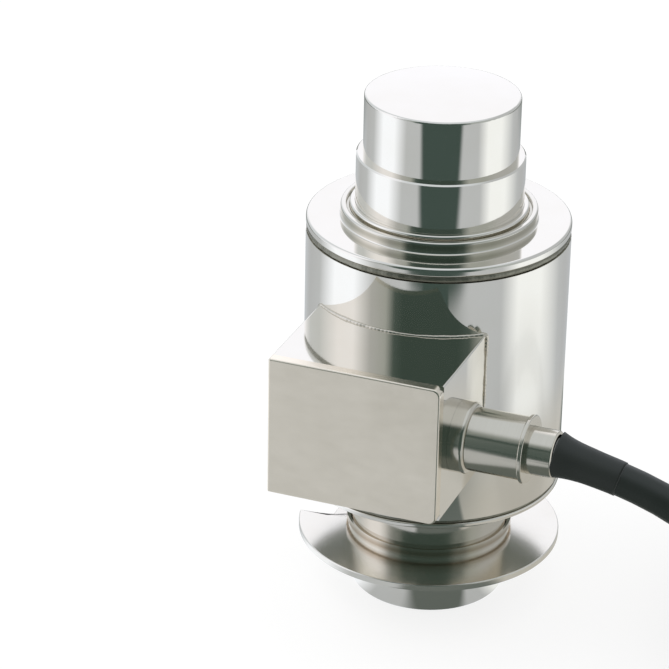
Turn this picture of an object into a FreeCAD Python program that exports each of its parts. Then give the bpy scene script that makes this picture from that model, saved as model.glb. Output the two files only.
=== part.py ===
"""Column load cell: a turned stainless column in a welded housing, with a cable box on its side.

Millimetres, +Z up. The origin is on the column's axis, at the base's underside.
The box faces -Y, its cable leaves along +X, and the disc's notch opens towards -X.
"""
import FreeCAD
import Part
import math
import os

V = FreeCAD.Vector

# Housing
housing_radius = 36.5
housing_wall = 2.5
body_underside = 35.0
base_rim_height = 1.4
groove_width = 1.1
groove_depth = 0.75
cover_underside = 110.3
cover_thickness = 3.1
rim_round = 0.9
spigot_length = 3.2
base_plate_thickness = 4.6

# Column, whose radii step from the shank's, and the shank's from the housing's
total_height = 150.0
shank_inset = 13.35
shank_ledge_chamfer = 0.4
button_step = 1.85
button_length = 17.0
button_edge = 0.7
crown_rise = 1.3
base_step = 1.55
base_chamfer = 0.6
core_step = 2.55
collar_overhang = 0.45
collar_height = 1.9
collar_foot_step = 0.5
collar_foot_height = 1.6
waist_step = 3.1
waist_flat_depth = 2.3
waist_length = 38.0
waist_neck = 6.0

# Anti-rotation disc
disc_underside = 15.5
disc_thickness = 2.0
disc_overhang = 0.7
disc_edge = 0.35
notch_width = 17.0
notch_depth = 10.7
notch_corner = 2.0

# Seals between the column and the housing
hub_gap = 2.35
hub_wall = 1.6
hub_height = 3.2
hub_round = 0.7
hub_foot = 0.4
cover_bore_gap = 1.1
seal_sleeve_inset = 1.1
seal_sleeve_wall = 1.4
seal_sleeve_step = 0.5
seal_sleeve_step_height = 0.9
diaphragm_lip_wall = 1.4
diaphragm_lip_height = 4.1
diaphragm_web = 2.3

# Cable box
box_width = 48.0
box_height = 39.7
box_underside = 53.9
box_reach = 27.8
box_wall = 3.0
box_edge = 0.5
lid_thickness = 3.0
lid_corner = 2.2
lid_sharp_corner = 0.5
lid_edge = 0.5

# Cable entry, with its axis along X
gland_reach = 11.5
gland_z = 73.0
collar_flange_radius = 9.7
collar_flange_length = 4.4
collar_flange_round = 1.2
gland_thread_radius = 7.2
gland_thread_length = 9.1
gland_tail_radius = 6.2
gland_tail_length = 8.0
nut_radius = 8.55
nut_length = 14.6
nut_ring_radius = 9.3
nut_ring_length = 1.2
nut_end_wall = 2.2
ferrule_radius = 6.4
ferrule_wall = 0.95
ferrule_reach = 7.1
lock_nut_flats = 16.5
lock_nut_length = 3.2
o_ring_radius = 7.9
o_ring_section = 0.7
seal_length = 2.6
washer_thickness = 0.7

# Cable
cable_radius = 4.5
cable_droop_deg = 9.0
boot_length = 18.0
boot_tip_wall = 0.45
inner_jacket_tail = 6.0
core_wire_radius = 0.75
core_spacing = 2.0
core_straight = 2.0

# Put-away coil of the cable: columns of turns side by side, each a helix
coil_x = 146.0
coil_pitch = 9.3
coil_mean_radius = 54.3
coil_columns = 4
coil_turns_each = 3.45
tie_thickness = 1.2
tie_width = 4.6
tie_angles = (-22.0, 200.0)
tie_clearance = 0.25
end_sleeve_length = 14.0
end_sleeve_cover = 10.0
end_sleeve_wall = 0.5
end_wire_tip_radius = 0.45
end_wire_tip_length = 5.0

# Wiring board in the box
board_side_room = 8.5
board_end_room = 5.35
board_thickness = 1.6
board_x = -5.0
board_setback = 17.6
post_x = 4.5
post_rows_apart = 10.0
board_corner = 1.5
board_hole_inset = 3.6
standoff_radius = 2.2
screw_radius = 1.25
screw_head_radius = 2.2
screw_head_height = 1.5
screw_reach = 4.0
screw_slot = 0.5
resistor_gap = 1.0
resistor_length = 7.5
resistor_count = 4
resistor_x = -13.0
resistor_lead_radius = 0.35
resistor_lead_reach = 1.4
post_radius = 0.6
post_height = 2.6
post_count = 4
post_end_room = 7.9
loom_radius = 1.3
loom_reach = 3.4
loom_wire_radius = 0.25
loom_wire_spacing = 0.6
bush_radius = 3.2
bush_flange_radius = 4.6
bush_flange = 1.2

# Strain gauges on the waist's flats
gauge_thickness = 0.15
axial_gauge = (5.0, 9.0)
transverse_gauge = (9.0, 5.0)
axial_gauge_rise = 5.5
transverse_gauge_drop = 5.0
tab_strip = (8.0, 3.0, 0.5)
tab_strip_drop = 11.5
ring_wire_radius = 0.5

# Clearances between pieces that fit together
slip = 0.03
seat = 0.02

# Levels and places worked out from the sizes above
shank_radius = housing_radius - shank_inset
button_radius = shank_radius - button_step
base_radius = shank_radius - base_step
core_radius = shank_radius - core_step
collar_radius = shank_radius + collar_overhang
collar_foot_radius = collar_radius - collar_foot_step
waist_radius = core_radius - waist_step
waist_flat = waist_radius - waist_flat_depth
disc_radius = housing_radius + disc_overhang
disc_top = disc_underside + disc_thickness
collar_underside = disc_top + collar_foot_height
collar_top = collar_underside + collar_height
cover_top = cover_underside + cover_thickness
hub_outer_radius = shank_radius + hub_gap + hub_wall
seal_sleeve_radius = collar_radius - seal_sleeve_inset
box_front = housing_radius + box_reach
gland_y = -(housing_radius + gland_reach)
ledge_z = total_height - crown_rise - button_length
tube_bottom = body_underside + base_rim_height + groove_width
tube_top = cover_underside - groove_width
tube_bore = housing_radius - housing_wall
box_top = box_underside + box_height
box_middle_z = box_underside + box_height / 2
lid_back = -box_front + lid_thickness
wall_x = box_width / 2
gland_face = wall_x + seat
nut_start = gland_face + collar_flange_length + seat
nut_end = nut_start + nut_length
ring_end = nut_end + nut_ring_length
mouth_x = ring_end + ferrule_reach
waist_middle = (body_underside + cover_top) / 2
board_y = -box_front + board_setback
board_z = box_middle_z
board_width = box_width - 2 * board_side_room
board_height = box_height - 2 * board_end_room
post_spacing = (board_height - 2 * post_end_room) / (post_count - 1)
resistor_radius = (post_spacing - resistor_gap) / 2
cable_lift = tie_thickness + tie_clearance + 0.1
coil_bottom = cable_lift
coil_height = coil_pitch * coil_turns_each + 2 * cable_radius
coil_outer = coil_mean_radius + coil_pitch * (coil_columns - 1) / 2 + cable_radius
coil_inner = coil_mean_radius - coil_pitch * (coil_columns - 1) / 2 - cable_radius
coil_y = gland_y + coil_outer - cable_radius
coil_top = coil_bottom + coil_height
coil_entry_z = coil_top - cable_radius
tab_z = waist_middle - tab_strip_drop
loom_z = tab_z


def revolved(points, crown=None):
    """The solid of revolution of a closed outline of (radius, z) points about the Z axis.

    With a crown, the last point is joined to the first by an arc through the crown's point.
    """
    corners = [V(r, 0, z) for r, z in points]
    edges = [Part.LineSegment(a, b).toShape() for a, b in zip(corners, corners[1:])]
    if crown:
        edges.append(Part.Arc(corners[-1], V(crown[0], 0, crown[1]), corners[0]).toShape())
    else:
        edges.append(Part.LineSegment(corners[-1], corners[0]).toShape())
    return Part.Face(Part.Wire(edges)).revolve(V(0, 0, 0), V(0, 0, 1), 360)


def ring(outer, inner, z0, z1):
    """A plain ring about the Z axis."""
    return Part.makeCylinder(outer, z1 - z0, V(0, 0, z0)).cut(
        Part.makeCylinder(inner, z1 - z0, V(0, 0, z0))
    )


def x_rod(radius, x0, x1, y=gland_y, z=gland_z):
    """A rod along X, by default on the cable entry's axis."""
    return Part.makeCylinder(radius, x1 - x0, V(x0, y, z), V(1, 0, 0))


def y_rod(radius, x, y0, y1, z):
    """A rod along Y, from y0 up to y1."""
    return Part.makeCylinder(radius, y1 - y0, V(x, y0, z), V(0, 1, 0))


def block(x0, x1, y0, y1, z0, z1):
    """A box between two corners."""
    return Part.makeBox(x1 - x0, y1 - y0, z1 - z0, V(x0, y0, z0))


def edges_at(shape, wanted):
    """The shape's edges whose centre the given test accepts."""
    return [e for e in shape.Edges if not e.Degenerated and wanted(e)]


def circles_at(shape, radius, z):
    """The round edges about the Z axis at one radius and level."""
    def close(e):
        return (
            isinstance(e.Curve, Part.Circle)
            and abs(e.Curve.Radius - radius) < 1e-6
            and abs(e.Curve.Center.z - z) < 1e-6
        )
    return edges_at(shape, close)


def rounded_path(points):
    """Straight runs joined by tangent arcs, each as large as its two runs allow, with the arcs' radii."""
    edges, radii = [], []
    start = points[0]
    for before, corner, after in zip(points, points[1:], points[2:]):
        into, out = corner - before, after - corner
        half = into.getAngle(out) / 2
        reach = 0.45 * min(into.Length, out.Length)
        radii.append(reach / math.tan(half))
        first = corner - into.normalize() * reach
        last = corner + out.normalize() * reach
        inward = (out - into).normalize()
        middle = corner + inward * radii[-1] * (1 / math.cos(half) - 1)
        edges += [Part.LineSegment(start, first).toShape(), Part.Arc(first, middle, last).toShape()]
        start = last
    edges.append(Part.LineSegment(start, points[-1]).toShape())
    return Part.Wire(edges), radii


def swept_tube(points, radius):
    """A round cable, wire or hose along a rounded path."""
    path, radii = rounded_path(points)
    section = Part.Wire(Part.makeCircle(radius, points[0], points[1] - points[0]))
    return path.makePipeShell([section], True, False), path.Length, radii


def load_column():
    """The one-piece column: base, sealing collar, gauged waist, shank, ledge and crowned button."""
    waist_low = waist_middle - waist_length / 2
    waist_high = waist_middle + waist_length / 2
    ledge_low = cover_underside - spigot_length
    rim_z = total_height - crown_rise
    sphere = (button_radius ** 2 + crown_rise ** 2) / (2 * crown_rise)
    crown_r = button_radius / 2
    crown_z = total_height - sphere + math.sqrt(sphere ** 2 - crown_r ** 2)
    column = revolved([
        (0, total_height),
        (0, 0),
        (base_radius - base_chamfer, 0),
        (base_radius, base_chamfer),
        (base_radius, disc_underside),
        (core_radius, disc_underside),
        (core_radius, disc_top),
        (collar_foot_radius, disc_top),
        (collar_foot_radius, collar_underside),
        (collar_radius, collar_underside),
        (collar_radius, collar_top),
        (core_radius, collar_top),
        (core_radius, waist_low - waist_neck),
        (waist_radius, waist_low),
        (waist_radius, waist_high),
        (core_radius, waist_high + waist_neck),
        (core_radius, ledge_low),
        (shank_radius, ledge_low + shank_radius - core_radius),
        (shank_radius, ledge_z - shank_ledge_chamfer),
        (shank_radius - shank_ledge_chamfer, ledge_z),
        (button_radius, ledge_z),
        (button_radius, rim_z),
    ], crown=(crown_r, crown_z))
    column = column.makeFillet(button_edge, circles_at(column, button_radius, rim_z))
    for turn in range(4):
        flat = block(waist_flat, waist_radius + 1, -waist_radius, waist_radius, waist_low, waist_high)
        flat.rotate(V(0, 0, 0), V(0, 0, 1), 90 * turn)
        column = column.cut(flat)
    return column


def anti_rotation_disc():
    """The thin disc on the base, with a notch that a pin holds against turning."""
    disc = ring(disc_radius, core_radius + slip, disc_underside, disc_top)
    rims = circles_at(disc, disc_radius, disc_underside) + circles_at(disc, disc_radius, disc_top)
    disc = disc.makeChamfer(disc_edge, rims)
    floor_x = -(disc_radius - notch_depth)
    slot = block(-disc_radius - 1, floor_x, -notch_width / 2, notch_width / 2, disc_underside, disc_top)
    inner = edges_at(slot, lambda e: abs(e.CenterOfMass.x - floor_x) < 1e-6
                     and abs(e.CenterOfMass.z - (disc_underside + disc_top) / 2) < 1e-6)
    return disc.cut(slot.makeFillet(notch_corner, inner))


def lower_seal_sleeve():
    """The thin sleeve between the housing and the column's collar, which seals the waist in."""
    inner = seal_sleeve_radius - seal_sleeve_wall
    return revolved([
        (inner, collar_top),
        (seal_sleeve_radius - seal_sleeve_step, collar_top),
        (seal_sleeve_radius - seal_sleeve_step, collar_top + seal_sleeve_step_height),
        (seal_sleeve_radius, collar_top + seal_sleeve_step_height),
        (seal_sleeve_radius, body_underside + base_plate_thickness),
        (inner, body_underside + base_plate_thickness),
    ])


def housing_base_plate():
    """The housing's bottom plate: a rim, the groove's floor, and a spigot inside the tube."""
    bore = seal_sleeve_radius + slip
    rim_top = body_underside + base_rim_height
    spigot_top = tube_bottom + spigot_length
    plate = revolved([
        (bore, body_underside),
        (housing_radius, body_underside),
        (housing_radius, rim_top),
        (housing_radius - groove_depth, rim_top),
        (housing_radius - groove_depth, tube_bottom),
        (tube_bore - slip, tube_bottom),
        (tube_bore - slip, spigot_top),
        (tube_bore - housing_wall, spigot_top),
        (tube_bore - housing_wall, body_underside + base_plate_thickness),
        (bore, body_underside + base_plate_thickness),
    ])
    return plate.makeFillet(rim_round / 2, circles_at(plate, housing_radius, body_underside))


def housing_tube():
    """The housing's tube, with a hole in its side for the gauges' wiring."""
    tube = ring(housing_radius, tube_bore, tube_bottom, tube_top)
    return tube.cut(y_rod(bush_radius + slip, 0, -housing_radius - 1, 0, loom_z))


def housing_cover_plate():
    """The housing's top plate, with a raised hub ring round the column."""
    bore = shank_radius + cover_bore_gap
    hub_inner = hub_outer_radius - hub_wall
    hub_top = cover_top + hub_height
    plate = revolved([
        (bore, cover_underside),
        (tube_bore - housing_wall, cover_underside),
        (tube_bore - housing_wall, tube_top - spigot_length),
        (tube_bore - slip, tube_top - spigot_length),
        (tube_bore - slip, tube_top),
        (housing_radius - groove_depth, tube_top),
        (housing_radius - groove_depth, cover_underside),
        (housing_radius, cover_underside),
        (housing_radius, cover_top),
        (hub_outer_radius + hub_foot, cover_top),
        (hub_outer_radius, cover_top + hub_foot),
        (hub_outer_radius, hub_top),
        (hub_inner, hub_top),
        (hub_inner, cover_top),
        (bore, cover_top),
    ])
    plate = plate.makeFillet(rim_round, circles_at(plate, housing_radius, cover_top))
    plate = plate.makeFillet(hub_round, circles_at(plate, hub_outer_radius, hub_top))
    return plate.makeFillet(hub_round / 2, circles_at(plate, hub_inner, hub_top))


def upper_diaphragm():
    """The thin ring that seals the column to the hub: a web with an upstanding lip."""
    inner = shank_radius + slip
    lip_outer = inner + diaphragm_lip_wall
    lip_top = cover_top + diaphragm_lip_height
    seal = revolved([
        (inner, cover_top),
        (hub_outer_radius - hub_wall - slip, cover_top),
        (hub_outer_radius - hub_wall - slip, cover_top + diaphragm_web),
        (lip_outer, cover_top + diaphragm_web),
        (lip_outer, lip_top),
        (inner, lip_top),
    ])
    return seal.makeFillet(diaphragm_lip_wall / 2, circles_at(seal, lip_outer, lip_top))


def junction_box_shell():
    """The cable box's welded shell: four walls saddled on the tube, open to its front plate."""
    outer = block(-wall_x, wall_x, lid_back, 0, box_underside, box_top)
    long_edges = edges_at(outer, lambda e: abs(abs(e.CenterOfMass.x) - wall_x) < 1e-6
                          and abs(e.CenterOfMass.y - lid_back / 2) < 1e-6)
    outer = outer.makeFillet(box_edge, long_edges)
    inside = block(-wall_x + box_wall, wall_x - box_wall, lid_back, 0,
                   box_underside + box_wall, box_top - box_wall)
    saddle = Part.makeCylinder(housing_radius + seat, total_height)
    shell = outer.cut(inside).cut(saddle)
    return shell.cut(x_rod(gland_tail_radius + slip, 0, wall_x + 1))


def junction_box_cover():
    """The box's front plate, with its corners rounded on the cable's side and softened edges."""
    plate = block(-wall_x, wall_x, -box_front, lid_back, box_underside, box_top)
    for side, radius in ((wall_x, lid_corner), (-wall_x, lid_sharp_corner)):
        plate = plate.makeFillet(radius, edges_at(
            plate, lambda e: abs(e.CenterOfMass.x - side) < 1e-6
            and abs(abs(e.CenterOfMass.z - box_middle_z) - box_height / 2) < 1e-6))
    return plate.makeFillet(lid_edge, edges_at(
        plate, lambda e: abs(e.CenterOfMass.y + box_front) < 1e-6))


def gland_body():
    """The entry's body: a tail through the box's wall, a flange, and the thread under the nut."""
    body = x_rod(gland_tail_radius, gland_face - gland_tail_length, gland_face)
    flange = x_rod(collar_flange_radius, gland_face, nut_start - seat)
    flange = flange.makeFillet(collar_flange_round, edges_at(
        flange, lambda e: abs(e.CenterOfMass.x - (nut_start - seat)) < 1e-6))
    thread = x_rod(gland_thread_radius, gland_face, nut_start + gland_thread_length)
    body = body.fuse([flange, thread]).removeSplitter()
    groove = Part.makeTorus(o_ring_radius, o_ring_section + slip, V(gland_face, gland_y, gland_z), V(1, 0, 0))
    bore = x_rod(cable_radius + slip, 0, mouth_x)
    return body.cut(groove).cut(bore)


def gland_o_ring():
    """The O-ring in the flange's face, flattened on the box's wall."""
    whole = Part.makeTorus(o_ring_radius, o_ring_section, V(gland_face, gland_y, gland_z), V(1, 0, 0))
    return whole.common(x_rod(collar_flange_radius, gland_face, nut_start))


def gland_lock_nut():
    """The hexagonal nut that clamps the entry inside the box."""
    end = wall_x - box_wall - seat
    corner = lock_nut_flats / math.sqrt(3)
    corners = [
        V(end - lock_nut_length, gland_y + corner * math.sin(math.radians(60 * k + 30)),
          gland_z + corner * math.cos(math.radians(60 * k + 30)))
        for k in range(7)
    ]
    nut = Part.Face(Part.makePolygon(corners)).extrude(V(lock_nut_length, 0, 0))
    return nut.cut(x_rod(gland_tail_radius + slip, 0, wall_x))


def gland_nut():
    """The smooth compression nut, with a ring at its outer end."""
    nut = x_rod(nut_radius, nut_start, nut_end).fuse(x_rod(nut_ring_radius, nut_end, ring_end))
    nut = nut.removeSplitter()
    nut = nut.cut(x_rod(gland_thread_radius + slip, nut_start, ring_end - nut_end_wall))
    nut = nut.cut(x_rod(ferrule_radius + slip, nut_start, ring_end))
    rims = edges_at(nut, lambda e: isinstance(e.Curve, Part.Circle)
                    and abs(e.Curve.Radius - nut_ring_radius) < 1e-6)
    return nut.makeFillet(nut_ring_length / 4, rims)


def gland_seal():
    """The rubber bush that the nut squeezes onto the cable."""
    start = nut_start + gland_thread_length + seat
    return x_rod(gland_thread_radius, start, start + seal_length).cut(
        x_rod(cable_radius + slip, 0, mouth_x))


def gland_washer():
    """The thrust washer between the seal and the nut's end wall."""
    start = nut_start + gland_thread_length + 2 * seat + seal_length
    return x_rod(gland_thread_radius, start, start + washer_thickness).cut(
        x_rod(cable_radius + slip, 0, mouth_x))


def cable_ferrule():
    """The thin sleeve at the nut's end, which holds the boot."""
    start = nut_start + gland_thread_length + 3 * seat + seal_length + washer_thickness
    sleeve = x_rod(ferrule_radius, start, mouth_x)
    sleeve = sleeve.makeFillet(ferrule_wall / 3, edges_at(
        sleeve, lambda e: abs(e.CenterOfMass.x - mouth_x) < 1e-6))
    return sleeve.cut(x_rod(ferrule_radius - ferrule_wall, start, mouth_x))


def droop():
    """The direction in which the free cable leaves the ferrule."""
    angle = math.radians(cable_droop_deg)
    return V(math.cos(angle), 0, -math.sin(angle))


def cable_tube(radius):
    """A tube along the free cable's route, from just inside the ferrule's mouth."""
    points = cable_route()
    return swept_tube([points[0] - droop()] + points[1:], radius)


def cable_boot():
    """The tapered rubber boot: a plug in the ferrule and a cone along the drooping cable."""
    mouth = V(mouth_x, gland_y, gland_z)
    root = ferrule_radius - ferrule_wall - slip
    plug = x_rod(root, ring_end, mouth_x)
    cone = Part.makeCone(root, cable_radius + boot_tip_wall, boot_length, mouth, droop())
    ball = Part.makeSphere(root, mouth)
    ball = ball.cut(block(ring_end - root, mouth_x, gland_y - root, gland_y + root,
                          gland_z - root, gland_z + root))
    boot = plug.fuse([cone.cut(x_rod(3 * root, ring_end - root, mouth_x)), ball]).removeSplitter()
    boot = boot.cut(x_rod(cable_radius + slip, 0, mouth_x))
    boot = boot.cut(Part.makeSphere(cable_radius + slip, mouth))
    return boot.cut(cable_tube(cable_radius + slip)[0])


def inner_jacket_end():
    """The level along X at which the cable's jacket is stripped inside the box."""
    return wall_x - box_wall - lock_nut_length - inner_jacket_tail


def cable_inner_end():
    """The cable's jacket inside the entry, up to where it is stripped in the box."""
    return x_rod(cable_radius, inner_jacket_end(), mouth_x)


def cable_route():
    """The free cable's points from the ferrule's mouth onto the coil's outer turn, chosen by hand."""
    mouth = V(mouth_x, gland_y, gland_z)
    return [
        mouth,
        mouth + droop() * 27,
        V(coil_x - 45, gland_y - 0.3, coil_entry_z + 15.8),
        V(coil_x - 24, gland_y - 0.2, coil_entry_z + 3.6),
        V(coil_x, gland_y, coil_entry_z),
    ]


def tail_route():
    """The cable's last stretch over the coil's top, up to where it is stripped, chosen by hand."""
    middle = V(coil_x, coil_y, coil_top + cable_radius)
    return [
        middle + V(30.9, 25.9, -5.2),
        middle + V(16.0, 39.4, 0.3),
        middle + V(-1.9, 47.9, 0.7),
        middle + V(-17.0, 50.6, 0.8),
    ]


def report_tube(name, solid, length, radii, section_radius):
    """Print a tube's arc radii, and its volume against its section times its length."""
    share = solid.Volume / (math.pi * section_radius ** 2 * length)
    print(name, "length", round(length, 1), "arc radii", [round(r) for r in radii], "volume", round(share, 4))


def cable():
    """The free cable between the ferrule and the coil, flush with both."""
    solid, length, radii = cable_tube(cable_radius)
    report_tube("cable", solid, length, radii, cable_radius)
    return solid.common(block(mouth_x, coil_x, -housing_radius * 4, 0, 0, total_height))


def cable_coil():
    """The outer shape of the put-away cable: a ring with a pocket where the cable comes onto it."""
    coil = ring(coil_outer, coil_inner, coil_bottom, coil_top)
    coil.translate(V(coil_x, coil_y, 0))
    pocket = block(coil_x - coil_outer, coil_x, coil_y - coil_outer - 1,
                   gland_y + coil_pitch / 2, coil_entry_z - coil_pitch / 2, coil_top)
    return coil.cut(pocket)


def coil_ties():
    """Two flat straps round the coil's bundle."""
    low, high = coil_bottom - tie_clearance, coil_top + tie_clearance
    near, far = coil_inner - tie_clearance, coil_outer + tie_clearance
    ties = []
    for angle in tie_angles:
        outer = block(near - tie_thickness, far + tie_thickness, -tie_width / 2, tie_width / 2,
                      low - tie_thickness, high + tie_thickness)
        outer = outer.makeFillet(cable_radius / 2, edges_at(outer, lambda e: abs(e.CenterOfMass.y) < 1e-6))
        tie = outer.cut(block(near, far, -tie_width / 2, tie_width / 2, low, high))
        tie.rotate(V(0, 0, 0), V(0, 0, 1), angle)
        tie.translate(V(coil_x, coil_y, 0))
        ties.append(tie)
    return Part.makeCompound(ties)


def cable_tail():
    """The cable's tail, which rises out of the coil and lies over its top."""
    solid, length, radii = swept_tube(tail_route(), cable_radius)
    report_tube("cable_tail", solid, length, radii, cable_radius)
    return solid.cut(cable_coil())


def tail_end():
    """The tail's end point and direction."""
    points = tail_route()
    return points[-1], (points[-1] - points[-2]).normalize()


def cable_end_sleeve():
    """The shrunk sleeve over the end of the jacket."""
    end, ahead = tail_end()
    start = end - ahead * end_sleeve_cover
    outer = Part.makeCylinder(cable_radius + end_sleeve_wall, end_sleeve_length, start, ahead)
    inner = Part.makeCylinder(cable_radius + slip, end_sleeve_length, start, ahead)
    return outer.cut(inner)


def cable_end_wires():
    """The four stripped cores at the cable's end, fanned out over the coil, with tinned tips."""
    end, ahead = tail_end()
    side = V(0, 0, 1).cross(ahead)
    rest = coil_top + core_wire_radius + tie_clearance - end.z
    wires = []
    for k in range(post_count):
        share = k - (post_count - 1) / 2
        start = end + side * share * core_spacing
        points = [
            start,
            start + ahead * 6,
            end + ahead * 13 + side * share * 4.2 + V(0, 0, rest + 1.2),
            end + ahead * (20 - share) + side * share * 6.5 + V(0, 0, rest),
            end + ahead * (27 - 2 * share) + side * share * 7.6 + V(0, 0, rest),
        ]
        wire = swept_tube(points, core_wire_radius)[0]
        way = (points[-1] - points[-2]).normalize()
        wires.append(wire.fuse(Part.makeCylinder(end_wire_tip_radius, end_wire_tip_length, points[-1], way)))
    return Part.makeCompound(wires)


def board_post_places():
    """The (x, z) places of the cable's posts and of the loom's posts on the board."""
    rises = [(k - (post_count - 1) / 2) * post_spacing for k in range(post_count)]
    return [(post_x, board_z + r) for r in rises], [(post_x - post_rows_apart, board_z + r) for r in rises]


def standoff_places():
    """The (x, z) places of the board's four fixing holes."""
    dx = board_width / 2 - board_hole_inset
    dz = board_height / 2 - board_hole_inset
    return [(board_x + i * dx, board_z + j * dz) for i in (-1, 1) for j in (-1, 1)]


def terminal_board():
    """The glass-epoxy board that joins the gauges' wiring to the cable, with trimming resistors on it."""
    board = block(board_x - board_width / 2, board_x + board_width / 2, board_y, board_y + board_thickness,
                  board_z - board_height / 2, board_z + board_height / 2)
    board = board.makeFillet(board_corner, edges_at(
        board, lambda e: abs(e.CenterOfMass.y - board_y - board_thickness / 2) < 1e-6))
    back = board_y + board_thickness
    holes = [y_rod(screw_radius + slip, x, board_y, back, z) for x, z in standoff_places()]
    for places in board_post_places():
        holes += [y_rod(post_radius, x, board_y, back, z) for x, z in places]
    holes.append(y_rod(loom_radius + slip, 0, board_y, back, loom_z))
    return board.cut(holes)


def board_standoffs():
    """Four round pillars welded to the tube, tapped for the board's screws."""
    saddle = Part.makeCylinder(housing_radius + seat, total_height)
    back = board_y + board_thickness + seat
    pillars = []
    for x, z in standoff_places():
        pillar = y_rod(standoff_radius, x, back, 0, z).cut(saddle)
        pillars.append(pillar.cut(y_rod(screw_radius, x, back, back + screw_reach, z)))
    return Part.makeCompound(pillars)


def board_screws():
    """Four cheese-head screws that hold the board on its pillars."""
    screws = []
    for x, z in standoff_places():
        head = y_rod(screw_head_radius, x, board_y - seat - screw_head_height, board_y - seat, z)
        shank = y_rod(screw_radius - slip, x, board_y - seat,
                      board_y + board_thickness + screw_reach - slip, z)
        slot = block(x - screw_head_radius, x + screw_head_radius, board_y - seat - screw_head_height,
                     board_y - seat - screw_head_height / 2, z - screw_slot / 2, z + screw_slot / 2)
        screws.append(head.fuse(shank).cut(slot))
    return Part.makeCompound(screws)


def solder_posts():
    """The two rows of posts that the wires are soldered to."""
    front = board_y - post_height
    places = [place for row in board_post_places() for place in row]
    return Part.makeCompound([y_rod(post_radius, x, front, board_y + board_thickness, z) for x, z in places])


def trim_resistors():
    """The wire-wound resistors that trim the bridge, each with its two bent leads."""
    parts = []
    for k in range(resistor_count):
        z = board_z + (k - (resistor_count - 1) / 2) * post_spacing
        y = board_y - resistor_radius - seat
        low = resistor_x - resistor_length / 2
        high = resistor_x + resistor_length / 2
        body = x_rod(resistor_radius, low, high, y, z)
        body = body.makeFillet(resistor_radius / 3, edges_at(
            body, lambda e: isinstance(e.Curve, Part.Circle)))
        ends = (low - resistor_lead_reach, high + resistor_lead_reach)
        leads = [x_rod(resistor_lead_radius, ends[0], ends[1], y, z)]
        leads += [y_rod(resistor_lead_radius, x, y, board_y - seat, z) for x in ends]
        parts.append(body.fuse(leads))
    return Part.makeCompound(parts)


def cable_inner_cores():
    """The cable's four cores in the box, from its jacket's end to their posts."""
    start_x = inner_jacket_end()
    wires = []
    front = board_y - post_height - core_wire_radius
    for k, (x, z) in enumerate(board_post_places()[0]):
        start_z = gland_z + (k - (post_count - 1) / 2) * core_spacing
        wires.append(swept_tube([
            V(start_x, gland_y, start_z),
            V(start_x - core_straight, gland_y, start_z),
            V(x + core_straight, front - core_wire_radius, z),
            V(x, front, z),
        ], core_wire_radius)[0])
    return Part.makeCompound(wires)


def wire_feedthrough():
    """The insulating bush in the tube's hole, with a saddled flange inside the box."""
    front = -housing_radius - bush_flange
    flange = y_rod(bush_flange_radius, 0, front, 0, loom_z).cut(
        Part.makeCylinder(housing_radius + seat, total_height))
    stem = y_rod(bush_radius, 0, front, -tube_bore, loom_z)
    return flange.fuse(stem).cut(y_rod(loom_radius + slip, 0, front, 0, loom_z))


def gauge_loom():
    """The sleeved wiring from the gauges' strip through the tube's wall and the board."""
    start = -waist_flat - tab_strip[2] - seat
    return y_rod(loom_radius, 0, board_y - loom_reach, start, loom_z)


def loom_tails():
    """The loom's four wires on the board's face, each up to its post."""
    front = board_y - post_height - loom_wire_radius
    start_y = board_y - loom_reach - seat
    wires = []
    for k, (x, z) in enumerate(board_post_places()[1]):
        start_x = (k - (post_count - 1) / 2) * loom_wire_spacing
        bend_y = start_y - loom_wire_spacing * (1.5 + k)
        wires.append(swept_tube([
            V(start_x, start_y, loom_z),
            V(start_x, bend_y, loom_z),
            V(start_x / 2 + x / 2, bend_y, (loom_z + z) / 2),
            V(x, front, z),
        ], loom_wire_radius)[0])
    return Part.makeCompound(wires)


def on_flats(width, height, z, depth, thickness):
    """Four thin plates, one on each of the waist's flats."""
    plates = []
    for turn in range(4):
        plate = block(depth, depth + thickness, -width / 2, width / 2, z - height / 2, z + height / 2)
        plate.rotate(V(0, 0, 0), V(0, 0, 1), 90 * turn)
        plates.append(plate)
    return Part.makeCompound(plates)


def axial_strain_gauges():
    """The four gauges along the column."""
    return on_flats(*axial_gauge, waist_middle + axial_gauge_rise, waist_flat, gauge_thickness)


def transverse_strain_gauges():
    """The four gauges across the column."""
    return on_flats(*transverse_gauge, waist_middle - transverse_gauge_drop, waist_flat, gauge_thickness)


def gauge_tab_strips():
    """The four solder strips below the gauges."""
    width, height, thickness = tab_strip
    return on_flats(width, height, tab_z, waist_flat, thickness)


def bridge_ring_wire():
    """The wire that links the four strips round the waist."""
    level = tab_z - tab_strip[1] / 2 - ring_wire_radius - seat
    return Part.makeTorus(waist_radius + ring_wire_radius + seat, ring_wire_radius, V(0, 0, level))


def main():
    os.makedirs("parts", exist_ok=True)
    builders = [
        load_column, anti_rotation_disc, lower_seal_sleeve, housing_base_plate, housing_tube,
        housing_cover_plate, upper_diaphragm, junction_box_shell, junction_box_cover,
        gland_body, gland_o_ring, gland_lock_nut, gland_nut, gland_seal, gland_washer,
        cable_ferrule, cable_boot, cable_inner_end, cable_inner_cores,
        cable, cable_coil, coil_ties, cable_tail, cable_end_sleeve, cable_end_wires,
        terminal_board, board_standoffs, board_screws, solder_posts, trim_resistors,
        wire_feedthrough, gauge_loom, loom_tails,
        axial_strain_gauges, transverse_strain_gauges, gauge_tab_strips, bridge_ring_wire,
    ]
    for builder in builders:
        shape = builder()
        print(builder.__name__, len(shape.Solids), round(shape.Volume, 1), shape.isValid())
        shape.exportStep(f"parts/{builder.__name__}.step")


main()
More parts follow.
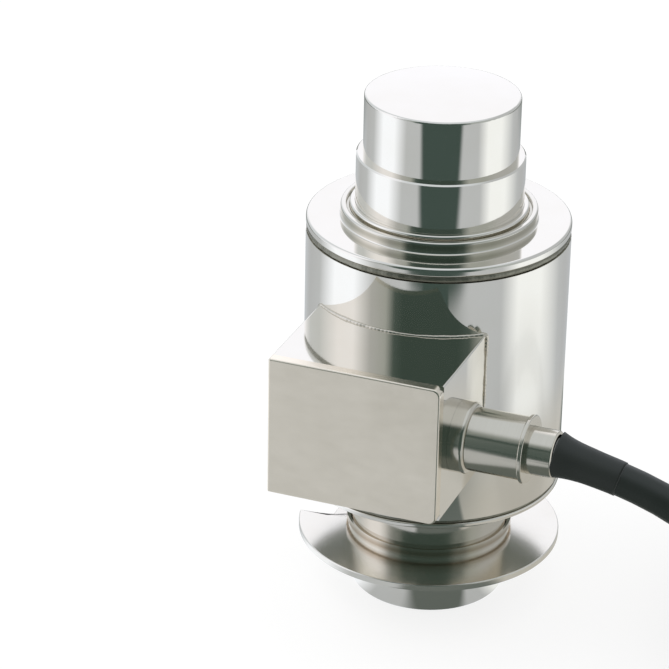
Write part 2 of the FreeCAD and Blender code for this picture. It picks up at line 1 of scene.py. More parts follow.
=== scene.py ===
# %% [markdown]
# # Column load cell
#
# A column load cell measures weight by how much a steel column shortens under it. This one is a
# turned stainless column in a welded round housing, with a cable box on its side. Almost all of it is
# mirror polished, so what the eye sees is mostly the studio, bent round cylinders. That decides the
# order of this lesson: first the camera, then the studio that the steel reflects, then the finishes,
# and last the pieces that the CAD model leaves out, such as the cable's windings and the weld beads.

# %% Load the frame
import math
import bpy
import numpy as np
from mathutils import Matrix


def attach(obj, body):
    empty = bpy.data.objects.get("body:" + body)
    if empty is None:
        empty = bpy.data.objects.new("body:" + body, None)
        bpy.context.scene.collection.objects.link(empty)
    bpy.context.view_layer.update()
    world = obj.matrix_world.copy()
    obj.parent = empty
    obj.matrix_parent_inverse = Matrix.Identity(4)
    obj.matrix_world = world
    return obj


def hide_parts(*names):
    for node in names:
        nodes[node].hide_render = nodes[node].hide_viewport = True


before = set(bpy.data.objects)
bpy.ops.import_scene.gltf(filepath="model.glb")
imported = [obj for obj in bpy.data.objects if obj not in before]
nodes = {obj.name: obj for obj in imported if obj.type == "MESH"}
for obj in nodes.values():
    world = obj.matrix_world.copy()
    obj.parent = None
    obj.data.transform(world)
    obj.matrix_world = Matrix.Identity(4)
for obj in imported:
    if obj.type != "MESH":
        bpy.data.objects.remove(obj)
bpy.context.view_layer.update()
MM = 0.001

# %% [markdown]
# ## Small helpers
#
# Colours are written as sRGB hex values, as a colour picker shows them, and turned to linear light in
# one place. Shader nodes are all made by one function, which takes a node's settings and its inputs.
# An input is a value, an output of another node, or the other node itself, which means its first
# output. So a material reads from top to bottom like a recipe.

# %% Colours and shader nodes
def linear(code):
    """The linear colour of an sRGB hex value: each channel c becomes ((c + 0.055) / 1.055) to the power 2.4."""
    channels = [int(code[i:i + 2], 16) / 255 for i in (1, 3, 5)]
    return tuple(c / 12.92 if c < 0.04045 else ((c + 0.055) / 1.055) ** 2.4 for c in channels) + (1.0,)


def add(tree, kind, inputs=(), stops=(), **settings):
    """Add one node with its settings, its inputs' values or links, and a ramp's stops of (place, colour)."""
    made = tree.nodes.new(kind)
    for key, value in settings.items():
        setattr(made, key, value)
    for key, value in dict(inputs).items():
        if isinstance(value, bpy.types.Node):
            value = value.outputs[0]
        if isinstance(value, bpy.types.NodeSocket):
            tree.links.new(value, made.inputs[key])
        else:
            made.inputs[key].default_value = value
    for k, (place_on_ramp, colour) in enumerate(stops):
        stop = made.color_ramp.elements[k] if k < 2 else made.color_ramp.elements.new(place_on_ramp)
        stop.position = place_on_ramp
        stop.color = colour
    return made


def new_material(name):
    """An empty node material and its tree."""
    material = bpy.data.materials.new(name)
    material.use_nodes = True
    material.node_tree.nodes.clear()
    print("finish", name)
    return material, material.node_tree


print("mid grey in linear light", round(linear("#808080")[0], 3))

# %% [markdown]
# Every new piece is a surface: a grid of points worked out with numpy, whose neighbours are joined by
# quads. The step along a row, crossed with the step to the next row, has to point outwards, or the
# piece is inside out. The piece's place is in its points, so its object stays at the origin.

# %% Meshes from grids of points
def surface(name, grid, material, closed_u=False, closed_v=False):
    """A mesh from a grid of points, (rows, columns, 3), as quads between neighbours, closed where asked."""
    rows, columns = grid.shape[:2]
    i, j = np.meshgrid(np.arange(rows - (not closed_u)), np.arange(columns - (not closed_v)), indexing="ij")
    i, j = i.ravel(), j.ravel()
    i2, j2 = (i + 1) % rows, (j + 1) % columns
    quads = np.stack([i * columns + j, i * columns + j2, i2 * columns + j2, i2 * columns + j], 1)
    mesh = bpy.data.meshes.new(name)
    mesh.from_pydata(grid.reshape(-1, 3), [], quads)
    mesh.polygons.foreach_set("use_smooth", np.ones(len(quads), bool))
    mesh.materials.append(material)
    piece = bpy.data.objects.new(name, mesh)
    bpy.context.collection.objects.link(piece)
    return piece


def place(piece, slot, *replaced):
    """Put a new piece on the one body and hide the CAD nodes that it stands for. The slot is not used."""
    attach(piece, "root")
    if replaced:
        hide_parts(*replaced)
    print("placed", piece.name, "for", ", ".join(replaced) or "itself")
    return piece


# %% [markdown]
# Four small pieces of geometry come back again and again: points on a circle, the distance travelled
# along a line, values read off at some distances, and a shape turned about the upright axis and set
# down somewhere.

# %% Circles, distances and turns
def circle(angles):
    """Points of the unit circle: the cosine and the sine of each angle."""
    return np.stack([np.cos(angles), np.sin(angles)], -1)


def travelled(line):
    """Distance along a line at each of its points: nought, and then the running sum of the steps' lengths."""
    return np.concatenate([[0], np.cumsum(np.linalg.norm(np.diff(line, axis=0), axis=1))])


def read_off(distances, known, values):
    """Rows of values at some distances: each column is interpolated between the known distances by itself."""
    return np.stack([np.interp(distances, known, column) for column in values.T], 1)


def turned_about_z(x, y, z, degrees, centre):
    """Points turned about the upright axis and moved: x and y are mixed by the angle's cosine and sine."""
    c, s = math.cos(math.radians(degrees)), math.sin(math.radians(degrees))
    return np.stack([centre[0] + x * c - y * s, centre[1] + x * s + y * c, centre[2] + z], -1)


print("a quarter of the way round", circle(math.pi / 2).round(3))

# %% [markdown]
# ## The camera
#
# Product photographs of small steel parts are taken from far away with a long lens, so that upright
# edges stay nearly parallel. The camera's place and lens here were fitted to the photograph's
# ellipses: it stands almost a metre away, a little to the right of the box's front, and looks down by
# 26 degrees.

# %% Camera
camera_place = (0.260816, -0.760915, 0.466529)
camera_right = (0.930940, 0.364766, 0.017219)
camera_up = (-0.173847, 0.401232, 0.899328)
camera_forward = (-0.321136, 0.840213, -0.436936)
sensor_mm = 36.0
lens_mm = 172.32

camera_data = bpy.data.cameras.new("camera")
camera_data.sensor_width = sensor_mm
camera_data.lens = lens_mm
camera = bpy.data.objects.new("camera", camera_data)
bpy.context.collection.objects.link(camera)
camera_backward = [-c for c in camera_forward]
camera_turn = Matrix((camera_right, camera_up, camera_backward)).transposed()
camera.matrix_world = Matrix.Translation(camera_place) @ camera_turn.to_4x4()
bpy.context.scene.camera = camera
bpy.context.scene.view_settings.view_transform = "Standard"
print("camera", round(math.hypot(*camera_place), 3), "m away, looking down by",
      round(math.degrees(math.asin(-camera_forward[2])), 1), "degrees")

# %% [markdown]
# ## The studio that the steel reflects
#
# A mirror has no look of its own. The photographer put the part in a tent of white cloth with soft
# boxes at its sides and back, and an opening in front for the camera. So each cylinder shows one dark
# upright band, which is the opening, then grey cloth, and a broad white band on either side, which
# are the soft boxes. The tent is painted here on the world and on the floor, but only for glossy
# rays, so everything else is lit by plain white light. Every tone is the one that a mirror shows, and
# one gain sets how bright the tent is.

# %% Tones of the tent
cloth = "#B1B5B9"
cloth_lit = "#C9CFD6"
cloth_dim = "#A4AAAA"
cloth_low = "#A9ACAF"
far_cloth = "#787D7B"
# painted shade: cloth close to the part on its right, darker and warmer
near_right_shade_cloth = "#B7B6B1"
soft_box = "#F1F6FF"
soft_box_right = "#ECF0F3"
back_box = "#F4F6FF"
opening = "#3C4A46"
opening_edge = "#4B5855"
shade = "#5E6562"
tent_gain = 1.3
print("cloth against opening, in linear light", round(linear(cloth)[1] / linear(opening)[1], 1), "to 1")

# %% [markdown]
# The paint goes by compass angle round the part, in degrees from the front, so it stays where it is
# when the camera moves. Rays that fall to the floor meet the low walls, and rays that rise meet the
# high ones.

# %% Walls by compass angle
front = math.radians(-71.1)
low_walls = [
    (-180, cloth), (-150, cloth), (-136, cloth_low), (-115, cloth), (-93, soft_box), (-71, soft_box),
    (-51, cloth), (54, cloth), (70, soft_box_right), (95, soft_box_right), (124, cloth), (136, cloth_low),
    (180, cloth_low),
]
high_walls = [
    (-180, back_box), (-164, back_box), (-142, cloth_lit), (-122, cloth_lit), (-94, back_box), (-76, back_box),
    (-58, cloth), (-44, cloth_dim), (-36, opening_edge), (-28, opening), (20, opening), (30, opening_edge),
    (43, cloth_dim), (66, cloth_dim), (90, cloth), (150, cloth), (166, back_box), (180, back_box),
]


def wall_stops(walls):
    """A ramp's stops from walls by compass angle: the place is the angle plus half a turn, over a turn."""
    return [((degrees + 180) / 360, linear(code)) for degrees, code in walls]


print("walls for falling rays", len(low_walls), "and for rising rays", len(high_walls))

# %% [markdown]
# A shader finds its compass angle from a direction by an arctangent. The patches of the tent have
# soft edges, as the shadows of large cloths have. An edge is a value with two limits: the patch is
# nought at the first, one at the second, and rises smoothly between them. Several edges multiplied
# close a patch off on several sides.

# %% Compass angle and soft patches
def compass_share(tree, direction):
    """Where a direction lies on a ramp of walls, from the arctangent of y and x, and how far it rises."""
    parts = add(tree, "ShaderNodeSeparateXYZ", {"Vector": direction})
    angle = add(tree, "ShaderNodeMath", {0: parts.outputs["Y"], 1: parts.outputs["X"]}, operation="ARCTAN2")
    from_front = add(tree, "ShaderNodeMath", {0: angle, 1: front}, operation="SUBTRACT")
    around = add(tree, "ShaderNodeMath", {0: from_front, 1: math.pi, 2: -math.pi}, operation="WRAP")
    share = add(tree, "ShaderNodeMapRange", {"Value": around, "From Min": -math.pi, "From Max": math.pi})
    return share, parts.outputs["Z"]


def patch(tree, *edges):
    """A patch with soft edges: the product of one smooth step for each edge of (value, nought at, one at)."""
    product = None
    for value, nought, one in edges:
        step = add(tree, "ShaderNodeMapRange", {"Value": value, "From Min": nought, "From Max": one},
                   interpolation_type="SMOOTHSTEP")
        if product is None:
            product = step
        else:
            product = add(tree, "ShaderNodeMath", {0: product, 1: step}, operation="MULTIPLY")
    return product


print("front of the tent", round(math.degrees(front), 1), "degrees from +X")

# %% [markdown]
# The world carries the high walls and a roof of lit cloth, which starts where a ray climbs at about 46 degrees.
# At 28 to 36 degrees of height, where the neck sees it, the opening's dark colour is spread wider as painted
# shade on the neck. The limits are sines of the height, because a direction's Z is that sine.

# %% The tent's walls on the world
roof = (0.72, 0.88)
# painted shade for the neck: the opening's dark colour spread wider at these heights
neck_shade_foot = (0.46, 0.49)
neck_shade_head = (0.62, 0.56)
neck_shade_sides = (0.19, 0.13)

world = bpy.data.worlds.new("light tent")
world.use_nodes = True
world.cycles.sampling_method = "NONE"
bpy.context.scene.world = world
tree = world.node_tree
tree.nodes.clear()
rays = add(tree, "ShaderNodeLightPath")
share, rise = compass_share(tree, add(tree, "ShaderNodeTexCoord").outputs["Generated"])
walls = add(tree, "ShaderNodeValToRGB", {"Fac": share}, wall_stops(high_walls))
from_front = add(tree, "ShaderNodeMath", {0: share, 1: 0.5}, operation="SUBTRACT")
off_front = add(tree, "ShaderNodeMath", {0: from_front}, operation="ABSOLUTE")
# the neck's painted shade, in the opening's colour
neck_shade_patch = patch(tree, (rise, *neck_shade_foot), (rise, *neck_shade_head), (off_front, *neck_shade_sides))
roofed = add(tree, "ShaderNodeMixRGB", {
    "Fac": patch(tree, (rise, *roof)), "Color1": walls, "Color2": linear(cloth_lit)})
tent = add(tree, "ShaderNodeMixRGB", {"Fac": neck_shade_patch, "Color1": roofed, "Color2": linear(opening)})
plain_sky = add(tree, "ShaderNodeBackground", {"Color": linear("#FFFFFF"), "Strength": 1.0})
tent_sky = add(tree, "ShaderNodeBackground", {"Color": tent, "Strength": tent_gain})
sky = add(tree, "ShaderNodeMixShader", {0: rays.outputs["Is Glossy Ray"], 1: plain_sky, 2: tent_sky})
add(tree, "ShaderNodeOutputWorld", {"Surface": sky})
print("world nodes", len(tree.nodes))

# %% [markdown]
# ## What the steel sees of the floor
#
# In front of the part the camera's dark opening shows in the floor: first as a strip, then, from a
# quarter of a metre on, as a wedge that opens towards the camera. Places on the floor are metres
# towards the camera and metres to its right.

# %% Dark floor in front
wedge_tip = 0.127
wedge_half_angle = math.radians(42)
wedge_soft = 0.03
wedge_start = (0.23, 0.27)
strip_left = -0.062
strip_cut = 0.045
strip_cut_ends = (0.20, 0.15)
strip_left_soft = 0.016
strip_right = (0.050, 0.038)
strip_start = (0.09, 0.15)


def open_front(tree, ahead, aside):
    """The dark floor: the larger of a wedge, whose half width is its length times a tangent, and a strip."""
    spread = math.tan(wedge_half_angle)
    half = add(tree, "ShaderNodeMath", {0: ahead, 1: spread, 2: -wedge_tip * spread}, operation="MULTIPLY_ADD")
    off_line = add(tree, "ShaderNodeMath", {0: aside}, operation="ABSOLUTE")
    inside = add(tree, "ShaderNodeMath", {0: half, 1: off_line}, operation="SUBTRACT")
    wedge = patch(tree, (inside, -wedge_soft, wedge_soft), (ahead, *wedge_start))
    cut = patch(tree, (ahead, *strip_cut_ends))
    left = add(tree, "ShaderNodeMath", {0: cut, 1: strip_cut, 2: strip_left}, operation="MULTIPLY_ADD")
    past_left = add(tree, "ShaderNodeMath", {0: aside, 1: left}, operation="SUBTRACT")
    strip = patch(tree, (past_left, -strip_left_soft, strip_left_soft), (aside, *strip_right),
                  (ahead, *strip_start))
    return add(tree, "ShaderNodeMath", {0: wedge, 1: strip}, operation="MAXIMUM")


print("the wedge opens by", round(2 * math.degrees(wedge_half_angle)), "degrees")

# %% [markdown]
# The part also mirrors its own shade on the paper. It has a dark core that widens in front of the
# foot, more to the right than to the left, a lighter fan further out, and a patch behind.

# %% Shade round the foot
core_left = (0.5, -0.0055, 0.018)
core_right = (1.69, -0.021, 0.045)
core_soft = 0.004
fan_left = (-0.03, 0.0)
fan_right = (0.12, 0.04)
fan_start = (0.06, 0.12)
fan_depth = 0.5
behind_near = (-0.03, -0.045)
behind_far = (-0.13, -0.11)
behind_sides = (0.085, 0.055)


def core_side(tree, ahead, slope, start, widest):
    """How far the core reaches to one side: a slope times the way ahead plus a start, or the widest if less."""
    grown = add(tree, "ShaderNodeMath", {0: ahead, 1: slope, 2: start}, operation="MULTIPLY_ADD")
    return add(tree, "ShaderNodeMath", {0: grown, 1: widest}, operation="MINIMUM")


def foot_shade(tree, ahead, aside):
    """The part's own shade: the largest of the core, the patch behind and half of the fan."""
    past_left = add(tree, "ShaderNodeMath", {0: core_side(tree, ahead, *core_left), 1: aside}, operation="ADD")
    past_right = add(tree, "ShaderNodeMath", {0: core_side(tree, ahead, *core_right), 1: aside},
                     operation="SUBTRACT")
    core = patch(tree, (past_left, -core_soft, core_soft), (past_right, -core_soft, core_soft))
    fan = patch(tree, (aside, *fan_left), (aside, *fan_right), (ahead, *fan_start))
    off_line = add(tree, "ShaderNodeMath", {0: aside}, operation="ABSOLUTE")
    behind = patch(tree, (ahead, *behind_near), (ahead, *behind_far), (off_line, *behind_sides))
    dark = add(tree, "ShaderNodeMath", {0: core, 1: behind}, operation="MAXIMUM")
    half_dark = add(tree, "ShaderNodeMath", {0: fan, 1: fan_depth}, operation="MULTIPLY")
    return add(tree, "ShaderNodeMath", {0: dark, 1: half_dark}, operation="MAXIMUM")


print("the shade's core is", round((core_left[2] + core_right[2]) / MM), "mm wide at most")

# %% [markdown]
# The part stands on a roll of white paper. It is one large square here.

# %% Floor
floor_half = 3.0
floor_mesh = bpy.data.meshes.new("floor")
floor_mesh.from_pydata(
    [(-floor_half, -floor_half, 0), (floor_half, -floor_half, 0), (floor_half, floor_half, 0),
     (-floor_half, floor_half, 0)], [], [(0, 1, 2, 3)])
floor = bpy.data.objects.new("floor", floor_mesh)
bpy.context.collection.objects.link(floor)
print("floor", 2 * floor_half, "m wide")

# %% [markdown]
# Only glossy rays see the tent's paint on the floor. It starts from the low walls. Cloth that lies far behind
# is darker, which gives bright rims a thin grey outline, and near the part on the right the cloth is painted
# darker and warmer, as painted shade. The shade and the dark opening come last, because they lie on top of the
# rest.

# %% Paint that mirrors see on the floor
# where the painted shade near the part's right lies, in metres
far_cloth_start = (-0.26, -0.40)
near_right_shade_reach = (0.17, 0.11)
near_right_shade_side = (0.02, 0.05)

paper, tree = new_material("white paper ground")
rays = add(tree, "ShaderNodeLightPath")
spot = add(tree, "ShaderNodeTexCoord").outputs["Object"]
share, _ = compass_share(tree, spot)
ahead, aside = [
    add(tree, "ShaderNodeVectorMath", {0: spot, 1: way}, operation="DOT_PRODUCT").outputs["Value"]
    for way in ((math.cos(front), math.sin(front), 0), (-math.sin(front), math.cos(front), 0))]
away = add(tree, "ShaderNodeVectorMath", {0: spot}, operation="LENGTH").outputs["Value"]
walls = add(tree, "ShaderNodeValToRGB", {"Fac": share}, wall_stops(low_walls))
for painted, tone in ((patch(tree, (ahead, *far_cloth_start)), far_cloth),
                      (patch(tree, (away, *near_right_shade_reach), (aside, *near_right_shade_side)), near_right_shade_cloth),
                      (foot_shade(tree, ahead, aside), shade),
                      (open_front(tree, ahead, aside), opening)):
    walls = add(tree, "ShaderNodeMixRGB", {"Fac": painted, "Color1": walls, "Color2": linear(tone)})
print("paint nodes", len(tree.nodes))

# %% [markdown]
# All other rays see plain paper. About a quarter of its white comes from the light that falls on it,
# so it keeps a soft shadow of the part, and the rest is a glow, so it stays white without brighter
# lamps. The painted cloth glows too, but it is lit a little as well, so that it darkens where the
# part stands close.

# %% White paper
paper_glow_strength = 0.80
tent_glow_strength = 1.375
tent_glow_share = 0.8

paper_lit = add(tree, "ShaderNodeBsdfDiffuse", {"Color": linear("#808080")})
paper_glow = add(tree, "ShaderNodeEmission", {"Color": linear("#FFFFFF"), "Strength": paper_glow_strength})
paper_seen = add(tree, "ShaderNodeAddShader", {0: paper_lit, 1: paper_glow})
walls_lit = add(tree, "ShaderNodeBsdfDiffuse", {"Color": walls})
walls_glow = add(tree, "ShaderNodeEmission", {"Color": walls, "Strength": tent_glow_strength})
walls_seen = add(tree, "ShaderNodeMixShader", {0: tent_glow_share, 1: walls_lit, 2: walls_glow})
ground = add(tree, "ShaderNodeMixShader", {0: rays.outputs["Is Glossy Ray"], 1: paper_seen, 2: walls_seen})
add(tree, "ShaderNodeOutputMaterial", {"Surface": ground})
floor_mesh.materials.append(paper)
print("paper nodes", len(tree.nodes))

# %% [markdown]
# One large lamp from the upper left gives the cable and the boot a soft light side. Mirrors don't see
# it, because the tent already holds everything that they show.

# %% Lamp
lamp_data = bpy.data.lights.new("soft lamp", "AREA")
lamp_data.shape = "SQUARE"
lamp_data.size = 0.8
lamp_data.energy = 4.0
lamp = bpy.data.objects.new("soft lamp", lamp_data)
lamp.location = (-0.6, -0.5, 1.3)
lamp.rotation_euler = (math.radians(28), math.radians(-22), 0)
lamp.visible_glossy = False
bpy.context.collection.objects.link(lamp)
print("lamp", lamp_data.energy, "W over", lamp_data.size, "m")

# %% [markdown]
# ## Polished stainless steel
#
# The turned faces were polished on a wheel. They are mirrors with a slight softness, very fine marks round the
# axis, and a gentle waviness that makes straight reflections a little uneven. A metal's colour is its
# reflectance, which is slightly warm for stainless steel. Beside a weld the heat leaves a straw tint, drawn
# here as a band at one height, and the same kind of band also paints shade into a recess. The marks of the real
# wheel are too fine to show, so they are drawn 0.45 mm apart.

# %% Polished steel
turning_pitch = 0.45 * MM
mark_length = 25 * MM
waviness = 16 * MM
blotch_size = 9 * MM
tint_and_shade_share = 0.9


def polished_steel(name, colours, roughness, mark_depth, wave_depth, tint_and_shade_bands=()):
    """Mirror steel: two close colours with bands of heat tint and of painted shade at some heights, fine rings,
    and a slow waviness.
    """
    material, tree = new_material(name)
    spot = add(tree, "ShaderNodeTexCoord").outputs["Object"]
    blotches = add(tree, "ShaderNodeTexNoise", {"Vector": spot, "Scale": 1 / blotch_size, "Detail": 4.0})
    base = add(tree, "ShaderNodeMixRGB", {
        "Fac": blotches, "Color1": linear(colours[0]), "Color2": linear(colours[1])})
    height = add(tree, "ShaderNodeSeparateXYZ", {"Vector": spot}).outputs["Z"]
    # each band is either a heat tint beside a weld or painted shade in a recess, as the caller gives it
    for middle, reach, band_tone in tint_and_shade_bands:
        above = add(tree, "ShaderNodeMath", {0: height, 1: middle}, operation="SUBTRACT")
        away = add(tree, "ShaderNodeMath", {0: above}, operation="ABSOLUTE")
        band = add(tree, "ShaderNodeMapRange", {
            "Value": away, "From Min": 0.0, "From Max": reach, "To Min": tint_and_shade_share, "To Max": 0.0},
            interpolation_type="SMOOTHSTEP")
        base = add(tree, "ShaderNodeMixRGB", {"Fac": band, "Color1": base, "Color2": linear(band_tone)})
    drawn = add(tree, "ShaderNodeMapping", {
        "Vector": spot, "Scale": (1 / mark_length, 1 / mark_length, 1 / turning_pitch)})
    rings = add(tree, "ShaderNodeTexNoise", {"Vector": drawn, "Scale": 1.0, "Detail": 2.0})
    rough = add(tree, "ShaderNodeMapRange", {
        "Value": rings, "To Min": roughness * 0.75, "To Max": roughness * 1.3})
    waves = add(tree, "ShaderNodeTexNoise", {"Vector": spot, "Scale": 1 / waviness, "Detail": 1.0})
    slow = add(tree, "ShaderNodeBump", {"Height": waves, "Strength": 1.0, "Distance": wave_depth})
    fine = add(tree, "ShaderNodeBump", {
        "Height": rings, "Strength": 1.0, "Distance": mark_depth, "Normal": slow})
    shader = add(tree, "ShaderNodeBsdfPrincipled", {
        "Base Color": base, "Metallic": 1.0, "Roughness": rough, "Normal": fine})
    add(tree, "ShaderNodeOutputMaterial", {"Surface": shader})
    return material


print("marks every", turning_pitch / MM, "mm")

# %% [markdown]
# The column, the sleeve, the hub and the disc are the same steel from different machines. The column is tinted
# at its sealing collar and the sleeve beside its weld. The hub is a little rougher, because a wheel can't get
# into it, and the channel between the hub and the seal ring is darkened by a band of painted shade. The disc is
# turned and not polished, so it is the softest mirror of all.

# %% The five steels
polish = ("#E9E6DF", "#E5E1D8")
mirror_steel = polished_steel("polished stainless steel", polish, 0.05, 0.0003 * MM, 0.010 * MM)
column_steel = polished_steel("polished stainless steel, heat tinted at the collar", polish, 0.05, 0.0003 * MM,
                              0.008 * MM, [(19.4 * MM, 2.3 * MM, "#B8AB99")])
sleeve_steel = polished_steel("drawn stainless tube, straw tinted", ("#E6E2DA", "#DDD8CE"), 0.08, 0.0006 * MM,
                              0.010 * MM, [(21.2 * MM, 1.2 * MM, "#CFC8BC")])
# painted shade: a darker band at 115.2 mm in the channel between the hub and the seal ring
hub_steel_painted_shade = polished_steel("polished stainless steel, painted shade round the hub", polish, 0.06, 0.0003 * MM,
                           0.010 * MM, [(115.2 * MM, 1.8 * MM, "#B9B6AA")])
disc_steel = polished_steel("turned stainless disc", ("#E9E6DF", "#E0DCD2"), 0.17, 0.0006 * MM, 0.02 * MM)

# %% [markdown]
# ## Satin plate, weld beads and plated brass
#
# The box's front plate was ground on a belt and then blasted lightly, so it scatters light and shows
# no clear picture. A weld bead is a row of frozen ripples. It is as bright as its steel, but each
# ripple catches the light at another angle. The cable entry is brass under a nickel plate, turned and
# left bright. All of them have a grain with a direction, so one recipe draws a noise out by a real
# length along each axis.

# %% Metals with a grain
cloud_size = 14 * MM
cloud_share = 0.6


def brushed_metal(name, colours, roughness, grain, depth):
    """A metal with a directed grain: noise drawn out by a length along each axis, on colour, gloss and bump."""
    material, tree = new_material(name)
    spot = add(tree, "ShaderNodeTexCoord").outputs["Object"]
    drawn = add(tree, "ShaderNodeMapping", {"Vector": spot, "Scale": [1 / g for g in grain]})
    lines = add(tree, "ShaderNodeTexNoise", {"Vector": drawn, "Scale": 1.0, "Detail": 3.0})
    clouds = add(tree, "ShaderNodeTexNoise", {"Vector": spot, "Scale": 1 / cloud_size, "Detail": 3.0})
    both = add(tree, "ShaderNodeMixRGB", {"Fac": cloud_share, "Color1": lines, "Color2": clouds})
    base = add(tree, "ShaderNodeMixRGB", {
        "Fac": both, "Color1": linear(colours[0]), "Color2": linear(colours[1])})
    rough = add(tree, "ShaderNodeMapRange", {
        "Value": both, "To Min": roughness * 0.8, "To Max": roughness * 1.2})
    bump = add(tree, "ShaderNodeBump", {"Height": lines, "Strength": 1.0, "Distance": depth})
    shader = add(tree, "ShaderNodeBsdfPrincipled", {
        "Base Color": base, "Metallic": 1.0, "Roughness": rough, "Normal": bump})
    add(tree, "ShaderNodeOutputMaterial", {"Surface": shader})
    return material


print("clouds of", cloud_size / MM, "mm on every grain")

# %% [markdown]
# Each of these metals is two close colours, a roughness, a grain as lengths along X, Y and Z, and a depth. The
# nickel's grain is short along X, because the cable entry was turned about X. The weld in a groove is not
# polished, and its colours are darkened further with painted shade of the groove, so it is by far the darkest.

# %% Satin steel, weld metal and nickel plate
satin_steel = brushed_metal("satin stainless plate", ("#FDF4E5", "#E3DACA"), 0.24,
                            (7 * MM, 7 * MM, 3.5 * MM), 0.004 * MM)
# painted shade: the groove weld's dark colours stand for the shade in the groove, on an unpolished weld
groove_weld_painted_shade = brushed_metal("weld in a groove, darkened with painted shade", ("#A5A396", "#6C6B5E"), 0.40,
                             (2 * MM, 2 * MM, 0.6 * MM), 0.03 * MM)
weld_steel = brushed_metal("weld bead", ("#E6E2D8", "#BDB5A6"), 0.24, (1 * MM, 1 * MM, 1 * MM), 0.05 * MM)
nickel_plate = brushed_metal("nickel plated brass", ("#DDD8CC", "#CDC7BA"), 0.15,
                             (0.35 * MM, 8 * MM, 8 * MM), 0.0012 * MM)
tinned_metal = brushed_metal("tinned copper", ("#DAD8D2", "#C9C6BE"), 0.30, (1 * MM, 1 * MM, 1 * MM), 0.01 * MM)

# %% [markdown]
# ## Rubber, plastics and the board
#
# The cable's jacket is extruded polyurethane: black with a cool tone, half matt, and smooth. The boot
# is moulded rubber. The small plastics inside differ only in colour, gloss and grain, so one recipe
# makes them all.

# %% Moulded and extruded materials
shading_size = 12 * MM


def moulded(name, colours, roughness, grain=0.4 * MM, depth=0.004 * MM, coat=0.0):
    """A plastic or rubber: two close shades in a slow noise, with a faint bump of a fine one."""
    material, tree = new_material(name)
    spot = add(tree, "ShaderNodeTexCoord").outputs["Object"]
    clouds = add(tree, "ShaderNodeTexNoise", {"Vector": spot, "Scale": 1 / shading_size, "Detail": 3.0})
    skin = add(tree, "ShaderNodeTexNoise", {"Vector": spot, "Scale": 1 / grain, "Detail": 2.0})
    base = add(tree, "ShaderNodeMixRGB", {
        "Fac": clouds, "Color1": linear(colours[0]), "Color2": linear(colours[1])})
    rough = add(tree, "ShaderNodeMapRange", {
        "Value": clouds, "To Min": roughness * 0.85, "To Max": roughness * 1.15})
    bump = add(tree, "ShaderNodeBump", {"Height": skin, "Strength": 1.0, "Distance": depth})
    shader = add(tree, "ShaderNodeBsdfPrincipled", {
        "Base Color": base, "Roughness": rough, "Normal": bump, "Coat Weight": coat, "Coat Roughness": 0.2})
    add(tree, "ShaderNodeOutputMaterial", {"Surface": shader})
    return material


print("plastics shade over", shading_size / MM, "mm")

# %% [markdown]
# Black rubber is never quite black: the jacket is a very dark green grey, and the boot is a little
# lighter. The four cores have the usual colours of a strain gauge bridge, two for its supply and two
# for its signal.

# %% Rubber, plastics and glass epoxy
jacket = moulded("black polyurethane jacket", ("#171D1A", "#1F2622"), 0.42)
boot_rubber = moulded("black moulded rubber", ("#181D1B", "#212723"), 0.5)
tie_nylon = moulded("black nylon", ("#141515", "#1E1F1F"), 0.38)
natural_nylon = moulded("natural nylon", ("#E6E2D2", "#DAD5C2"), 0.45)
sleeving = moulded("white glass sleeving", ("#E4E1D6", "#D2CEC0"), 0.7, 0.8 * MM, 0.03 * MM)
enamel = moulded("resistor enamel", ("#B98A55", "#A87845"), 0.25, coat=0.5)
epoxy = moulded("glass epoxy board", ("#2F6B34", "#275C2C"), 0.35, 0.6 * MM, 0.006 * MM, coat=0.3)
core_colours = {"red": "#A32320", "black": "#1A1A1B", "green": "#2A6B3B", "white": "#DCDAD2"}
core_plastics = [moulded(f"{name} core insulation", (code, code), 0.4) for name, code in core_colours.items()]

# %% [markdown]
# A foil gauge is a metal grid on an amber film, with its lines along the direction that it measures.
# The transverse gauges have level lines. The axial ones sit on four faces that look along X and along
# Y, so one slanting pattern serves them all. A wave texture turns 20 radians for each unit of its
# scale, which ties the scale to the pitch. The real foil is much finer, and is drawn this coarse so
# that it shows.

# %% Gauge film
foil_pitch = 0.987 * MM
wave_turn = 20


def gauge_film(name, across):
    """Amber film with a foil grid: stripes of metal colour across the given axis."""
    material, tree = new_material(name)
    spot = add(tree, "ShaderNodeTexCoord").outputs["Object"]
    stripes = add(tree, "ShaderNodeTexWave", {
        "Vector": spot, "Scale": 2 * math.pi / (wave_turn * foil_pitch), "Distortion": 0.0},
        wave_type="BANDS", bands_direction=across)
    edge = add(tree, "ShaderNodeMapRange", {
        "Value": stripes.outputs["Fac"], "From Min": 0.45, "From Max": 0.55})
    base = add(tree, "ShaderNodeMixRGB", {
        "Fac": edge, "Color1": linear("#C07A28"), "Color2": linear("#8F8A80")})
    shader = add(tree, "ShaderNodeBsdfPrincipled", {
        "Base Color": base, "Metallic": 0.0, "Roughness": 0.3, "Coat Weight": 0.4})
    add(tree, "ShaderNodeOutputMaterial", {"Surface": shader})
    return material


axial_film = gauge_film("axial gauge film", "DIAGONAL")
transverse_film = gauge_film("transverse gauge film", "Z")

# %% [markdown]
# Each piece of the CAD model now gets its finish. Only the materials change: the meshes are left as
# they are.

